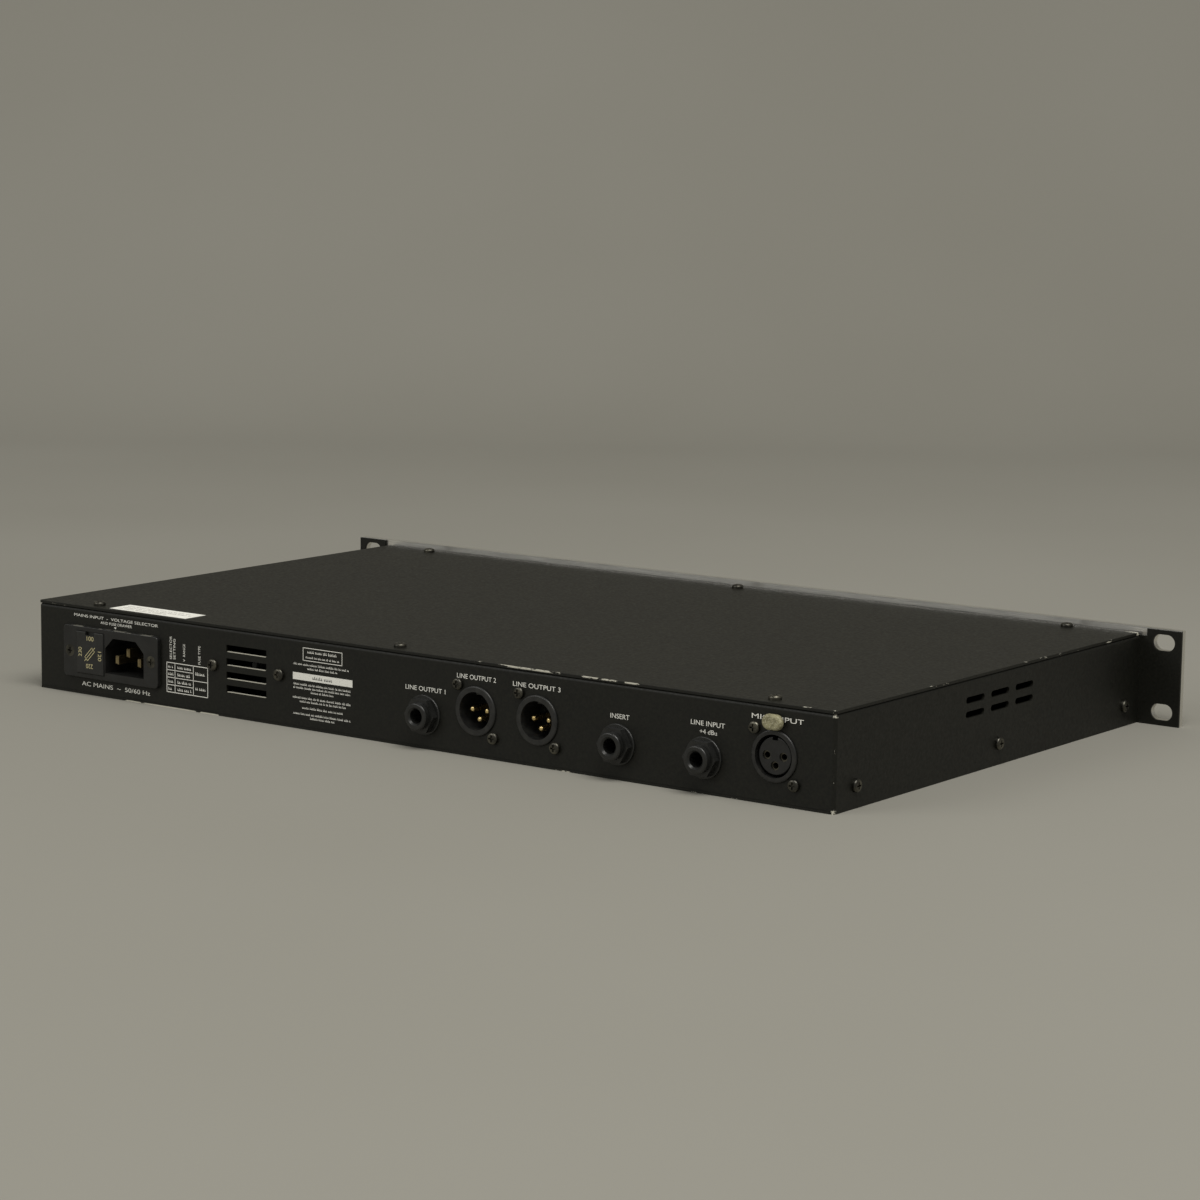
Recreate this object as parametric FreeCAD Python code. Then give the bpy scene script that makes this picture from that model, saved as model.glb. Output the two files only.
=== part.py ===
import FreeCAD, Part
import math
import os

# A 19-inch, one-unit rack effects unit: mic input, line outputs and insert on the rear panel.
# Millimetres. X runs to the right as seen from the front, Y to the rear, Z up. The origin is the
# centre of the rack slots, on the rear face of the ears.

# ---- rack panel -----------------------------------------------------------------------------
PANEL_WIDTH = 482.6
PANEL_HEIGHT = 44.0
PANEL_THICKNESS = 3.0
PANEL_EDGE = 0.4
SLOT_PITCH_X = 465.1
SLOT_PITCH_Z = 31.75
SLOT_LENGTH = 11.0
SLOT_WIDTH = 7.5

# ---- case -----------------------------------------------------------------------------------
# Places across the panels are given for a case LAYOUT_WIDTH wide and spread with its width.
CASE_WIDTH = 441.0
LAYOUT_WIDTH = 441.0
SPREAD = CASE_WIDTH / LAYOUT_WIDTH
CASE_DEPTH = 256.0
SHEET = 1.2
BEND = 0.4
COVER_DROP = 2.5
SIDE_FLANGE = 12.0
REAR_FLANGE = 15.0
FRONT_FLANGE = 18.0
TRAY_FLANGE = 17.0
EAR_RELIEF = 3.6
SHEET_GAP = 0.1
OVERSHOOT = 9.0
PARALLEL = 0.999
THREAD_GAP = 0.02

# ---- case vents -----------------------------------------------------------------------------
REAR_VENT_INSET = 13.8
REAR_VENT_LENGTH = 24.0
REAR_VENT_HEIGHT = 3.0
REAR_VENT_PITCH = 6.1
REAR_VENT_COUNT = 4
REAR_VENT_Z = 0.3
SIDE_VENT_Y = 126.4
SIDE_VENT_LENGTH = 15.2
SIDE_VENT_HEIGHT = 2.8
SIDE_VENT_PITCH_Y = 20.8
SIDE_VENT_PITCH_Z = 6.1
SIDE_VENT_Z = 6.4
SIDE_VENT_COLUMNS = 3
SIDE_VENT_ROWS = 2

# ---- case fasteners -------------------------------------------------------------------------
M3_RADIUS = 1.5
M3_HOLE = 1.7
HEAD_RADIUS = 2.8
HEAD_HEIGHT = 1.8
HEAD_SHOULDER = 0.45
SCREW_LENGTH = 7.0
RECESS_WIDTH = 0.7
RECESS_SPAN = 3.0
RECESS_DEPTH = 0.9
NUT_RADIUS = 2.9
NUT_HEIGHT = 2.2
COVER_SCREW_X = 187.5 * SPREAD
COVER_SCREW_MIDDLE = 6.5
COVER_SCREW_EDGE = 6.5
COVER_SCREW_FRONT = 8.0
SIDE_SCREW_Z = -12.5
SIDE_SCREW_Y = 127.0
SIDE_SCREW_PITCH = 113.6
BRACKET_SCREW_PITCH = 39.8
BRACKET_SCREW_Z = 1.0

# ---- mains inlet and its fuse drawer --------------------------------------------------------
INLET_X = 172.8 * SPREAD
INLET_Z = -1.8
INLET_FLANGE_WIDTH = 60.0
INLET_FLANGE_HEIGHT = 24.0
INLET_FLANGE_THICKNESS = 2.0
INLET_CORNER = 2.0
INLET_SCREW_PITCH = 51.6
INLET_BODY_WIDTH = 45.6
INLET_BODY_HEIGHT = 21.8
INLET_BODY_DEPTH = 28.0
CAVITY_OFFSET = -9.1
CAVITY_WIDTH = 24.4
CAVITY_HEIGHT = 16.6
CAVITY_DEPTH = 17.0
CAVITY_CHAMFER = 5.0
BLADE_THICKNESS = 2.0
BLADE_WIDTH = 4.0
BLADE_LENGTH = 15.0
BLADE_PITCH = 14.0
BLADE_RISE = 4.0
BLADE_TAIL = 9.0
BLADE_CHAMFER = 0.6
DRAWER_OFFSET = 12.4
DRAWER_WIDTH = 17.0
DRAWER_HEIGHT = 19.6
DRAWER_DEPTH = 24.0
DRAWER_PROUD = 0.6
DRAWER_GAP = 0.2
DRAWER_WALL = 1.6
FUSE_RADIUS = 2.6
FUSE_LENGTH = 20.0
FUSE_CAP_WALL = 0.2

# ---- signal connectors ----------------------------------------------------------------------
JACK_X = [x * SPREAD for x in (-12.5, -115.0, -158.1)]
JACK_Z = -7.0
JACK_BORE = 3.2
JACK_BUSH_RADIUS = 5.9
JACK_BUSH_PROUD = 6.6
JACK_WASHER_RIM = 2.9
JACK_WASHER_THICKNESS = 1.0
JACK_NUT_WALL = 1.1
JACK_NUT_THICKNESS = 3.0
JACK_NUT_CHAMFER = 0.6
JACK_ROUND = 0.8
JACK_BODY_WIDTH = 16.0
JACK_BODY_LENGTH = 26.0
JACK_BODY_TOP = 9.0
XLR_OUT_X = [x * SPREAD for x in (-40.7, -73.5)]
XLR_MIC_X = -192.1 * SPREAD
XLR_Z = -2.0
XLR_RADIUS = 10.8
XLR_PROUD = 1.0
XLR_LIP = 0.7
XLR_BODY_HEIGHT = 26.0
XLR_BODY_LENGTH = 24.0
XLR_SCREW_INSET = 1.2
XLR_BODY_EDGE = 3.4
XLR_SEAT_GAP = 0.2
XLR_SCREW_DZ = 10.6
XLR_SCREW_HEAD = 2.6
XLR_SOCKET_RADIUS = 8.2
XLR_SOCKET_DEPTH = 14.0
XLR_PIN_RADIUS = 1.2
XLR_PIN_LENGTH = 11.0
XLR_PIN_PITCH = 4.0
XLR_PIN_RISE = 0.0
XLR_PIN_DROP = 4.0
XLR_PIN_TAIL = 8.0
XLR_PIN_TIP = 0.8
XLR_KEY_WIDTH = 3.0
XLR_KEY_HEIGHT = 1.5
XLR_KEY_SETBACK = 3.0
XLR_INSERT_RADIUS = 7.8
XLR_INSERT_DEPTH = 1.2
XLR_INSERT_ROUND = 0.5
XLR_RING_GAP = 1.0
XLR_KEYWAY_WIDTH = 2.6
XLR_KEYWAY_DEPTH = 1.4
XLR_CONTACT_RADIUS = 1.9
XLR_CONTACT_BORE = 1.3
XLR_CONTACT_SETBACK = 0.8
LATCH_WIDTH = 9.6
LATCH_HEIGHT = 6.4
LATCH_PROUD = 3.4
LATCH_RISE = 14.0
LATCH_STEM_WIDTH = 4.4
LATCH_STEM_HEIGHT = 2.0
LATCH_TRAVEL = 1.6
LATCH_GAP = 0.3
LATCH_ROUND = 1.2

# ---- main board and what stands on it -------------------------------------------------------
BOARD_THICKNESS = 1.6
BOARD_CORNER = 2.0
BOARD_LEFT = -212.0 * SPREAD
BOARD_TOROID_GAP = 17.0
BOARD_DEPTH = 168.0
BOARD_REAR_GAP = 1.5
STANDOFF_HEIGHT = 4.0
STANDOFF_RADIUS = 3.0
STANDOFF_SPIGOT = 2.1
STANDOFF_FLOOR = 0.5
BOARD_SCREW_INSET = 7.0
BOARD_SCREW_COLUMNS = 3
BOARD_SCREW_REAR = 42.0
BOARD_SCREW_LENGTH = 4.5
CAPACITOR_RADIUS = 8.0
CAPACITOR_HEIGHT = 25.0
CAPACITOR_COUNT = 4
CAPACITOR_GAP = 3.0
CAPACITOR_ROW = 100.0
SMALL_CAPACITOR_RADIUS = 3.2
SMALL_CAPACITOR_HEIGHT = 11.0
SMALL_CAPACITOR_GAP = 8.0
CAN_GROOVE_RADIUS = 0.8
CAN_GROOVE_OUT = 0.4
CAN_GROOVE_RISE = 2.2
CAN_SCORE_SHARE = 1.2
CAN_SCORE_WIDTH = 0.5
CAN_SCORE_DEPTH = 0.4
CHIP_LENGTH = 19.0
CHIP_WIDTH = 6.6
CHIP_HEIGHT = 3.4
CHIP_COLUMNS = 5
CHIP_ROWS = 2
CHIP_MARGIN = 30.0
CHIP_PITCH_X = 42.0
CHIP_PITCH_Y = 44.0
CHIP_NOTCH = 1.0
HEADER_SIZE = (34.0, 8.0, 8.5)
HEADER_INSET = 2.0
BRACKET_WIDTH = 52.0
BRACKET_STAND = 14.0
BRACKET_BOTTOM = -12.0
BRACKET_TOP = 14.0
REGULATOR_SIZE = (10.2, 4.5, 15.4)
REGULATOR_TAB = 1.3
REGULATOR_PITCH = 14.0
REGULATOR_HOLE_DROP = 2.9
REGULATOR_BODY_SHARE = 0.6
LEAD_PITCH = 2.54
LEAD_WIDTH = 0.8
LEAD_THICKNESS = 0.6

# ---- toroidal transformer -------------------------------------------------------------------
TOROID_GAP = 4.0
TOROID_Y = 128.0
TOROID_RADIUS = 42.0
TOROID_HOLE = 13.0
TOROID_HEIGHT = 28.0
TOROID_ROUND = 7.0
PAD_THICKNESS = 1.5
DISH_RADIUS = 24.0
DISH_THICKNESS = 1.2
BOLT_RADIUS = 2.5
BOLT_HEAD_FLATS = 8.0
BOLT_HEAD_HEIGHT = 4.0

# ---- front panel and controls ---------------------------------------------------------------
KNOB_X = [x * SPREAD for x in (-176.0, -118.0, -60.0, 92.0)]
KNOB_Z = 0.0
KNOB_RADIUS = 8.0
KNOB_TOP_RADIUS = 6.6
KNOB_HEIGHT = 13.0
KNOB_FLUTES = 18
KNOB_FLUTE_RADIUS = 0.6
KNOB_CLEARANCE = 1.0
KNOB_NUT_RECESS = 6.6
KNOB_TOP = 3.0
KNOB_SKIRT = 2.4
KNOB_CHAMFER = 0.8
KNOB_DRAFT = 0.7
KNOB_FLUTE_OUT = 0.5
KNOB_FLUTE_START = 4.0
KNOB_POINTER_START = 2.4
KNOB_POINTER_WIDTH = 1.0
KNOB_POINTER_DEPTH = 0.5
SHAFT_RADIUS = 3.0
SHAFT_GAP = 0.05
BUSH_RADIUS = 3.5
BUSH_PROUD = 2.6
POT_NUT_FLATS = 10.0
POT_NUT_THICKNESS = 2.0
POT_WIDTH = 16.5
POT_HEIGHT = 20.0
POT_DEPTH = 9.0
BUTTON_X = [x * SPREAD for x in (-147.0, -89.0, -16.0)]
BUTTON_WIDTH = 10.0
BUTTON_HEIGHT = 6.0
BUTTON_PROUD = 4.0
BUTTON_GAP = 0.25
BUTTON_ROUND = 0.8
BUTTON_TRAVEL = 2.5
BUTTON_STEM = 3.2
SWITCH_WIDTH = 11.0
SWITCH_HEIGHT = 10.0
INDICATOR_RADIUS = 1.5
INDICATOR_RISE = 7.5
INDICATOR_PROUD = 0.8
INDICATOR_DOME = 0.7
WINDOW_X = 42.0 * SPREAD
WINDOW_WIDTH = 62.0
WINDOW_HEIGHT = 20.0
WINDOW_THICKNESS = 2.0
WINDOW_LIP = 1.5
METER_COLUMNS = 12
METER_ROWS = 2
METER_PITCH_X = 4.6
METER_PITCH_Z = 7.0
METER_GAP_X = 1.2
METER_GAP_Z = 2.0
ROCKER_X = 196.0 * SPREAD
ROCKER_WIDTH = 13.0
ROCKER_HEIGHT = 19.2
ROCKER_WALL = 1.6
ROCKER_FLANGE = 1.8
ROCKER_GAP = 0.35
ROCKER_DEPTH = 20.0
ROCKER_ANGLE = 8.0
ROCKER_PIVOT = 1.5
ROCKER_CORNER = 1.0
ROCKER_RIM = 0.75
ROCKER_DIP = 0.45
ROCKER_BACK = 0.4
CONTROL_LEFT = -206.0 * SPREAD
CONTROL_RIGHT = 150.0 * SPREAD
CONTROL_HEIGHT = 26.0
CONTROL_DROP = 3.0

# ---- wiring and label -----------------------------------------------------------------------
WIRE_RADIUS = 1.0
WIRE_PITCH = 3.0
WIRE_TURN = 6.0
WIRE_FRONT = 12.0
WINDING_WIRE_Y = 5.0
WINDING_WIRE_PITCH = 6.0
WINDING_WIRE_RISE = 7.0
WINDING_WIRE_LANDING = 8.0
RIBBON_THICKNESS = 0.9
RIBBON_WIDTH = 30.0
RIBBON_RISE = 4.0
RIBBON_X = -10.0 * SPREAD
WIRE_SIDE_GAP = 7.5
LABEL_X = 153.4 * SPREAD
LABEL_WIDTH = 47.6
LABEL_DEPTH = 13.5
LABEL_THICKNESS = 0.12
LABEL_EDGE = 2.5

# ---- derived places -------------------------------------------------------------------------
BOTTOM = -PANEL_HEIGHT / 2
TOP = PANEL_HEIGHT / 2
COVER_TOP = TOP - COVER_DROP
CASE_TOP = COVER_TOP - SHEET
CASE_SIDE = CASE_WIDTH / 2
INNER_SIDE = CASE_SIDE - SHEET
INNER_REAR = CASE_DEPTH - SHEET
PANEL_BACK = -SHEET
PANEL_FRONT = PANEL_BACK - PANEL_THICKNESS
FLOOR = BOTTOM + SHEET
TRAY_SIDE = INNER_SIDE - SHEET_GAP
BEND_OUTER = BEND + SHEET
BOARD_BOTTOM = FLOOR + STANDOFF_HEIGHT
BOARD_TOP = BOARD_BOTTOM + BOARD_THICKNESS
BOARD_REAR = INNER_REAR - BOARD_REAR_GAP
BOARD_FRONT = BOARD_REAR - BOARD_DEPTH
COVER_SCREWS_Y = (COVER_SCREW_FRONT, CASE_DEPTH - COVER_SCREW_EDGE)
SIDE_SCREWS_Y = [SIDE_SCREW_Y + step * SIDE_SCREW_PITCH for step in (-1, 0, 1)]
CHANNEL_SIDE = TRAY_SIDE - BEND_OUTER - SHEET_GAP
WIRE_WAY = CASE_SIDE - WIRE_SIDE_GAP
TOROID_X = WIRE_WAY - WIRE_PITCH - WIRE_RADIUS - TOROID_GAP - TOROID_RADIUS
BOARD_RIGHT = TOROID_X - TOROID_RADIUS - BOARD_TOROID_GAP
REAR_VENT_X = BOARD_RIGHT - REAR_VENT_INSET
JACK_WASHER_RADIUS = JACK_BUSH_RADIUS + JACK_WASHER_RIM
JACK_NUT_FLATS = 2 * (JACK_BUSH_RADIUS + JACK_NUT_WALL)
XLR_SCREW_DX = XLR_RADIUS - XLR_SCREW_INSET
XLR_BODY_WIDTH = 2 * (XLR_SCREW_DX + XLR_BODY_EDGE)
CONTROL_FRONT = POT_DEPTH
CONTROL_BACK = CONTROL_FRONT + BOARD_THICKNESS

EAST = FreeCAD.Vector(1, 0, 0)
REAR = FreeCAD.Vector(0, 1, 0)
FRONT = FreeCAD.Vector(0, -1, 0)
UP = FreeCAD.Vector(0, 0, 1)

os.makedirs("parts", exist_ok=True)


# ---- shape helpers --------------------------------------------------------------------------
def at(x, y, z):
    return FreeCAD.Vector(x, y, z)


def block(x, y, z):
    """Box from three (low, high) spans."""
    return Part.makeBox(x[1] - x[0], y[1] - y[0], z[1] - z[0], at(x[0], y[0], z[0]))


def span(centre, width):
    return (centre - width / 2, centre + width / 2)


def rod(radius, start, direction, length):
    return Part.makeCylinder(radius, length, start, direction)


def rod_y(radius, x, z, y):
    """Cylinder along Y over the span y."""
    return rod(radius, at(x, y[0], z), REAR, y[1] - y[0])


def prism_y(points, y):
    """Closed X-Z outline, extruded over the span y."""
    corners = [at(x, y[0], z) for x, z in points]
    face = Part.Face(Part.makePolygon(corners + corners[:1]))
    return face.extrude(REAR * (y[1] - y[0]))


def hexagon_y(flats, x, z, y):
    radius = flats / math.sqrt(3)
    turns = [side * math.pi / 3 for side in range(6)]
    return prism_y([(x + radius * math.cos(t), z + radius * math.sin(t)) for t in turns], y)


def slot_y(centre_x, centre_z, length, width, y):
    """Round-ended slot that runs along X."""
    reach = (length - width) / 2
    middle = block(span(centre_x, 2 * reach), y, span(centre_z, width))
    ends = [rod_y(width / 2, centre_x + side * reach, centre_z, y) for side in (-1, 1)]
    return middle.fuse(ends)


def turned(profile, start, direction):
    """Solid turned from (radius, height) points about a line from start."""
    corners = [at(radius, 0, height) for radius, height in profile]
    face = Part.Face(Part.makePolygon(corners + corners[:1]))
    return placed(face.revolve(at(0, 0, 0), UP, 360), start, direction)


def placed(shape, start, direction):
    """Moves a shape made at the origin, standing along +Z, to start along direction."""
    moved = shape.copy()
    moved.Placement = FreeCAD.Placement(start, FreeCAD.Rotation(UP, direction))
    return moved


def rounded(shape, radius, test):
    """Fillets the edges for which test(edge) is true."""
    return shape.makeFillet(radius, [edge for edge in shape.Edges if test(edge)])


def runs_along(edge, axis):
    """True for a straight edge parallel to axis."""
    if len(edge.Vertexes) != 2:
        return False
    line = edge.Vertexes[1].Point - edge.Vertexes[0].Point
    return abs(line.dot(axis)) > PARALLEL * line.Length


def near(value, target):
    return abs(value - target) < 1e-4


def both_sides(make):
    """Fuses a shape with its mirror image across the Y-Z plane."""
    one = make()
    return one.fuse(one.mirror(at(0, 0, 0), EAST))


def save(name, *solids):
    """Writes one sub-part: a single solid, or a group of separate solids."""
    pieces = []
    for shape in solids:
        pieces.extend(shape.removeSplitter().Solids)
    result = pieces[0] if len(pieces) == 1 else Part.makeCompound(pieces)
    result.exportStep("parts/" + name + ".step")


# ---- shared hole patterns -------------------------------------------------------------------
def rack_slots(y):
    """The four slots through each ear and the fascia."""
    return [
        slot_y(side * SLOT_PITCH_X / 2, level * SLOT_PITCH_Z / 2, SLOT_LENGTH, SLOT_WIDTH, y)
        for side in (-1, 1)
        for level in (-1, 1)
    ]


def cover_row(row):
    """Places of the cover's front (0) or rear (1) screws: the middle ones stand apart in X."""
    middle = (2 * row - 1) * COVER_SCREW_MIDDLE
    return [(x, COVER_SCREWS_Y[row]) for x in (-COVER_SCREW_X, middle, COVER_SCREW_X)]


def cover_holes(radius, z, rows=(0, 1)):
    """Holes on the cover's screws, over the span z."""
    return [rod(radius, at(x, y, z[0]), UP, z[1] - z[0]) for row in rows for x, y in cover_row(row)]


def side_holes(radius):
    """Holes on the side screws, right through the case."""
    return [rod(radius, at(-CASE_WIDTH, y, SIDE_SCREW_Z), EAST, 2 * CASE_WIDTH) for y in SIDE_SCREWS_Y]


def side_vents():
    """Round-ended slots through both side walls."""
    slots = []
    for column in range(SIDE_VENT_COLUMNS):
        y = SIDE_VENT_Y + (column - (SIDE_VENT_COLUMNS - 1) / 2) * SIDE_VENT_PITCH_Y
        for row in range(SIDE_VENT_ROWS):
            z = SIDE_VENT_Z + (row - (SIDE_VENT_ROWS - 1) / 2) * SIDE_VENT_PITCH_Z
            reach = (SIDE_VENT_LENGTH - SIDE_VENT_HEIGHT) / 2
            slots.append(block((-CASE_WIDTH, CASE_WIDTH), span(y, 2 * reach), span(z, SIDE_VENT_HEIGHT)))
            for end in (-1, 1):
                start = at(-CASE_WIDTH, y + end * reach, z)
                slots.append(rod(SIDE_VENT_HEIGHT / 2, start, EAST, 2 * CASE_WIDTH))
    return slots


def rear_vents(y):
    """Rectangular slots in the rear panel."""
    slots = []
    for row in range(REAR_VENT_COUNT):
        z = REAR_VENT_Z + (row - (REAR_VENT_COUNT - 1) / 2) * REAR_VENT_PITCH
        slots.append(block(span(REAR_VENT_X, REAR_VENT_LENGTH), y, span(z, REAR_VENT_HEIGHT)))
    return slots


def xlr_places():
    return [(x, XLR_Z) for x in XLR_OUT_X + [XLR_MIC_X]]


def xlr_screw_places():
    """The two screws of each XLR, on a diagonal."""
    return [
        (x + side * XLR_SCREW_DX, z + side * XLR_SCREW_DZ) for x, z in xlr_places() for side in (-1, 1)
    ]


def bracket_screw_places():
    return [(REAR_VENT_X + side * BRACKET_SCREW_PITCH / 2, BRACKET_SCREW_Z) for side in (-1, 1)]


def inlet_screw_places():
    return [(INLET_X + side * INLET_SCREW_PITCH / 2, INLET_Z) for side in (-1, 1)]


def latch_slot(grow, y):
    """Space of the latch's stem above the mic socket, with the latch's travel below it."""
    low = XLR_Z + LATCH_RISE - LATCH_STEM_HEIGHT / 2 - LATCH_TRAVEL - grow
    high = XLR_Z + LATCH_RISE + LATCH_STEM_HEIGHT / 2 + grow
    return block(span(XLR_MIC_X, LATCH_STEM_WIDTH + 2 * grow), y, (low, high))


# ---- sheet metal ----------------------------------------------------------------------------
def case_shell(inset, radius):
    """Block of the case, inset on the rear, top and sides, with its bends rounded."""
    side = CASE_SIDE - inset
    rear = CASE_DEPTH - inset
    top = CASE_TOP - inset
    shape = block((-side, side), (-inset, rear), (BOTTOM - inset, top))

    def bent(edge):
        centre = edge.CenterOfMass
        at_side = near(abs(centre.x), side)
        at_rear = near(centre.y, rear)
        at_top = near(centre.z, top)
        return [at_side, at_rear, at_top].count(True) == 2

    return rounded(shape, radius, bent)


def ear():
    """Rack ear on the +X side: the front plate drawn out past the side wall, low behind the cover."""
    plate = block((CHANNEL_SIDE - SHEET, PANEL_WIDTH / 2), (PANEL_BACK, 0), (BOTTOM, TOP - PANEL_EDGE))
    return plate.cut(block((0, CASE_SIDE + EAR_RELIEF), (PANEL_BACK - 1, 1), (CASE_TOP, TOP)))


def chassis_wrap():
    """Rear panel, side walls and top flanges: one bent sheet."""
    shell = case_shell(0, BEND_OUTER).cut(case_shell(SHEET, BEND))
    well = SHEET + BEND
    over = (CASE_TOP - SHEET - 1, CASE_TOP + 1)
    side = CASE_SIDE - SIDE_FLANGE
    cuts = [
        block((-CASE_WIDTH, CASE_WIDTH), (-CASE_DEPTH, 0), (2 * BOTTOM, 2 * TOP)),
        block((-CASE_WIDTH, CASE_WIDTH), (-CASE_DEPTH, 2 * CASE_DEPTH), (2 * BOTTOM, BOTTOM)),
        block((-side, side), (-SHEET, CASE_DEPTH - REAR_FLANGE), over),
        block((-CASE_SIDE + well, CASE_SIDE - well), (-SHEET, FRONT_FLANGE + 1), over),
        block((-INNER_SIDE, INNER_SIDE), (INNER_REAR - 1, CASE_DEPTH + 1), (BOTTOM - 1, FLOOR + SHEET_GAP)),
    ]
    shell = shell.cut(cuts)
    through = (INNER_REAR - 1, CASE_DEPTH + 1)
    holes = cover_holes(M3_HOLE, over, rows=(1,))
    holes += side_holes(M3_HOLE)
    holes += side_vents()
    holes += rear_vents(through)
    holes += [rod_y(M3_HOLE, x, z, through) for x, z in bracket_screw_places() + inlet_screw_places()]
    holes += [rod_y(XLR_RADIUS + SHEET_GAP, x, z, through) for x, z in xlr_places()]
    holes += [rod_y(M3_HOLE, x, z, through) for x, z in xlr_screw_places()]
    holes += [rod_y(JACK_BUSH_RADIUS + SHEET_GAP, x, JACK_Z, through) for x in JACK_X]
    holes.append(latch_slot(2 * LATCH_GAP, through))
    wide = INLET_BODY_WIDTH + 2 * SHEET_GAP
    high = INLET_BODY_HEIGHT + 2 * SHEET_GAP
    holes.append(block(span(INLET_X, wide), through, span(INLET_Z, high)))
    return shell.cut(holes).removeSplitter()


def base_tray():
    """Bottom plate with a flange turned up inside each side wall."""
    top = BOTTOM + TRAY_FLANGE
    length = (SHEET, CASE_DEPTH)

    def channel(inset, radius, y):
        side = TRAY_SIDE - inset
        shape = block((-side, side), y, (BOTTOM + inset, top + inset))
        return rounded(
            shape, radius, lambda e: runs_along(e, REAR) and near(e.CenterOfMass.z, BOTTOM + inset)
        )

    tray = channel(0, BEND_OUTER, length).cut(channel(SHEET, BEND, (-CASE_DEPTH, 2 * CASE_DEPTH)))
    behind = (INNER_REAR - SHEET_GAP, 2 * CASE_DEPTH)
    tray = tray.cut(block((-CASE_SIDE, CASE_SIDE), behind, (FLOOR, top + 1)))
    holes = side_holes(NUT_RADIUS - SHEET / 2)
    holes += [rod(STANDOFF_SPIGOT, at(x, y, BOTTOM - 1), UP, 2 + SHEET) for x, y in board_fixings()]
    holes.append(rod(BOLT_RADIUS, at(TOROID_X, TOROID_Y, BOTTOM - 1), UP, 2 + SHEET))
    return tray.cut(holes).removeSplitter()


def top_cover():
    """Flat lid plate."""
    plate = block((-CASE_SIDE, CASE_SIDE), (SHEET_GAP, CASE_DEPTH), (CASE_TOP, COVER_TOP))
    plate = rounded(plate, SHEET, lambda e: runs_along(e, UP))
    plate = rounded(plate, PANEL_EDGE / 2, lambda e: near(e.CenterOfMass.z, COVER_TOP))
    return plate.cut(cover_holes(M3_HOLE, (CASE_TOP - 1, COVER_TOP + 1)))


def panel_openings(y, gap):
    """Openings for every control, with the named gap around those that show."""
    cuts = [rod_y(BUSH_RADIUS + SHEET_GAP, x, KNOB_Z, y) for x in KNOB_X]
    for x in BUTTON_X:
        cuts.append(block(span(x, BUTTON_WIDTH + 2 * gap), y, span(KNOB_Z, BUTTON_HEIGHT + 2 * gap)))
        cuts.append(rod_y(INDICATOR_RADIUS + SHEET_GAP, x, KNOB_Z + INDICATOR_RISE, y))
    wide = ROCKER_WIDTH + 2 * ROCKER_WALL + 2 * SHEET_GAP
    high = ROCKER_HEIGHT + 2 * ROCKER_WALL + 2 * SHEET_GAP
    cuts.append(block(span(ROCKER_X, wide), y, span(KNOB_Z, high)))
    return cuts


def front_subpanel():
    """Channel behind the fascia, with the rack ears at its ends: it carries the controls."""
    side = CHANNEL_SIDE
    outer = block((-side, side), (PANEL_BACK, FRONT_FLANGE), (FLOOR, CASE_TOP))
    inner = block((-side, side), (PANEL_BACK + SHEET, 2 * FRONT_FLANGE), (FLOOR + SHEET, CASE_TOP - SHEET))
    shape = rounded(outer, BEND_OUTER, lambda e: runs_along(e, EAST) and near(e.CenterOfMass.y, PANEL_BACK))
    shape = shape.cut(rounded(inner, BEND, lambda e: runs_along(e, EAST) and near(e.CenterOfMass.y, 0)))
    shape = shape.fuse(both_sides(ear).Solids).removeSplitter()
    through = (PANEL_BACK - 1, 1)
    window = block(
        span(WINDOW_X, WINDOW_WIDTH - 2 * WINDOW_LIP), through, span(KNOB_Z, WINDOW_HEIGHT - 2 * WINDOW_LIP)
    )
    holes = panel_openings(through, BUTTON_GAP) + rack_slots(through) + [window]
    holes += cover_holes(M3_HOLE, (CASE_TOP - SHEET - 1, CASE_TOP + 1), rows=(0,))
    return shape.cut(holes)


def fascia():
    """Aluminium front panel."""
    shape = block(span(0, PANEL_WIDTH), (PANEL_FRONT, PANEL_BACK), (BOTTOM, TOP))
    shape = shape.makeChamfer(PANEL_EDGE, [e for e in shape.Edges if near(e.CenterOfMass.y, PANEL_FRONT)])
    through = (PANEL_FRONT - 1, PANEL_BACK + 1)
    window = block(
        span(WINDOW_X, WINDOW_WIDTH + 2 * SHEET_GAP),
        (PANEL_FRONT - 1, PANEL_FRONT + WINDOW_THICKNESS),
        span(KNOB_Z, WINDOW_HEIGHT + 2 * SHEET_GAP),
    )
    light = block(
        span(WINDOW_X, WINDOW_WIDTH - 2 * WINDOW_LIP), through, span(KNOB_Z, WINDOW_HEIGHT - 2 * WINDOW_LIP)
    )
    return shape.cut(rack_slots(through) + panel_openings(through, BUTTON_GAP) + [window, light])


# ---- fasteners ------------------------------------------------------------------------------
def pan_screw(head_radius, head_height, shank_radius, length):
    """Cross-recess pan-head screw along +Z, its head's seat at the origin."""
    shoulder = head_height * HEAD_SHOULDER
    head = rod(head_radius, at(0, 0, 0), UP, head_height)
    head = rounded(head, head_height - shoulder, lambda e: near(e.CenterOfMass.z, head_height))
    shank = rod(shank_radius, at(0, 0, -length), UP, length)
    low = head_height - RECESS_DEPTH
    reach = (-RECESS_SPAN / 2, RECESS_SPAN / 2)
    half = (-RECESS_WIDTH / 2, RECESS_WIDTH / 2)
    cross = [block(reach, half, (low, head_height + 1)), block(half, reach, (low, head_height + 1))]
    return head.fuse(shank).cut(cross)


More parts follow.
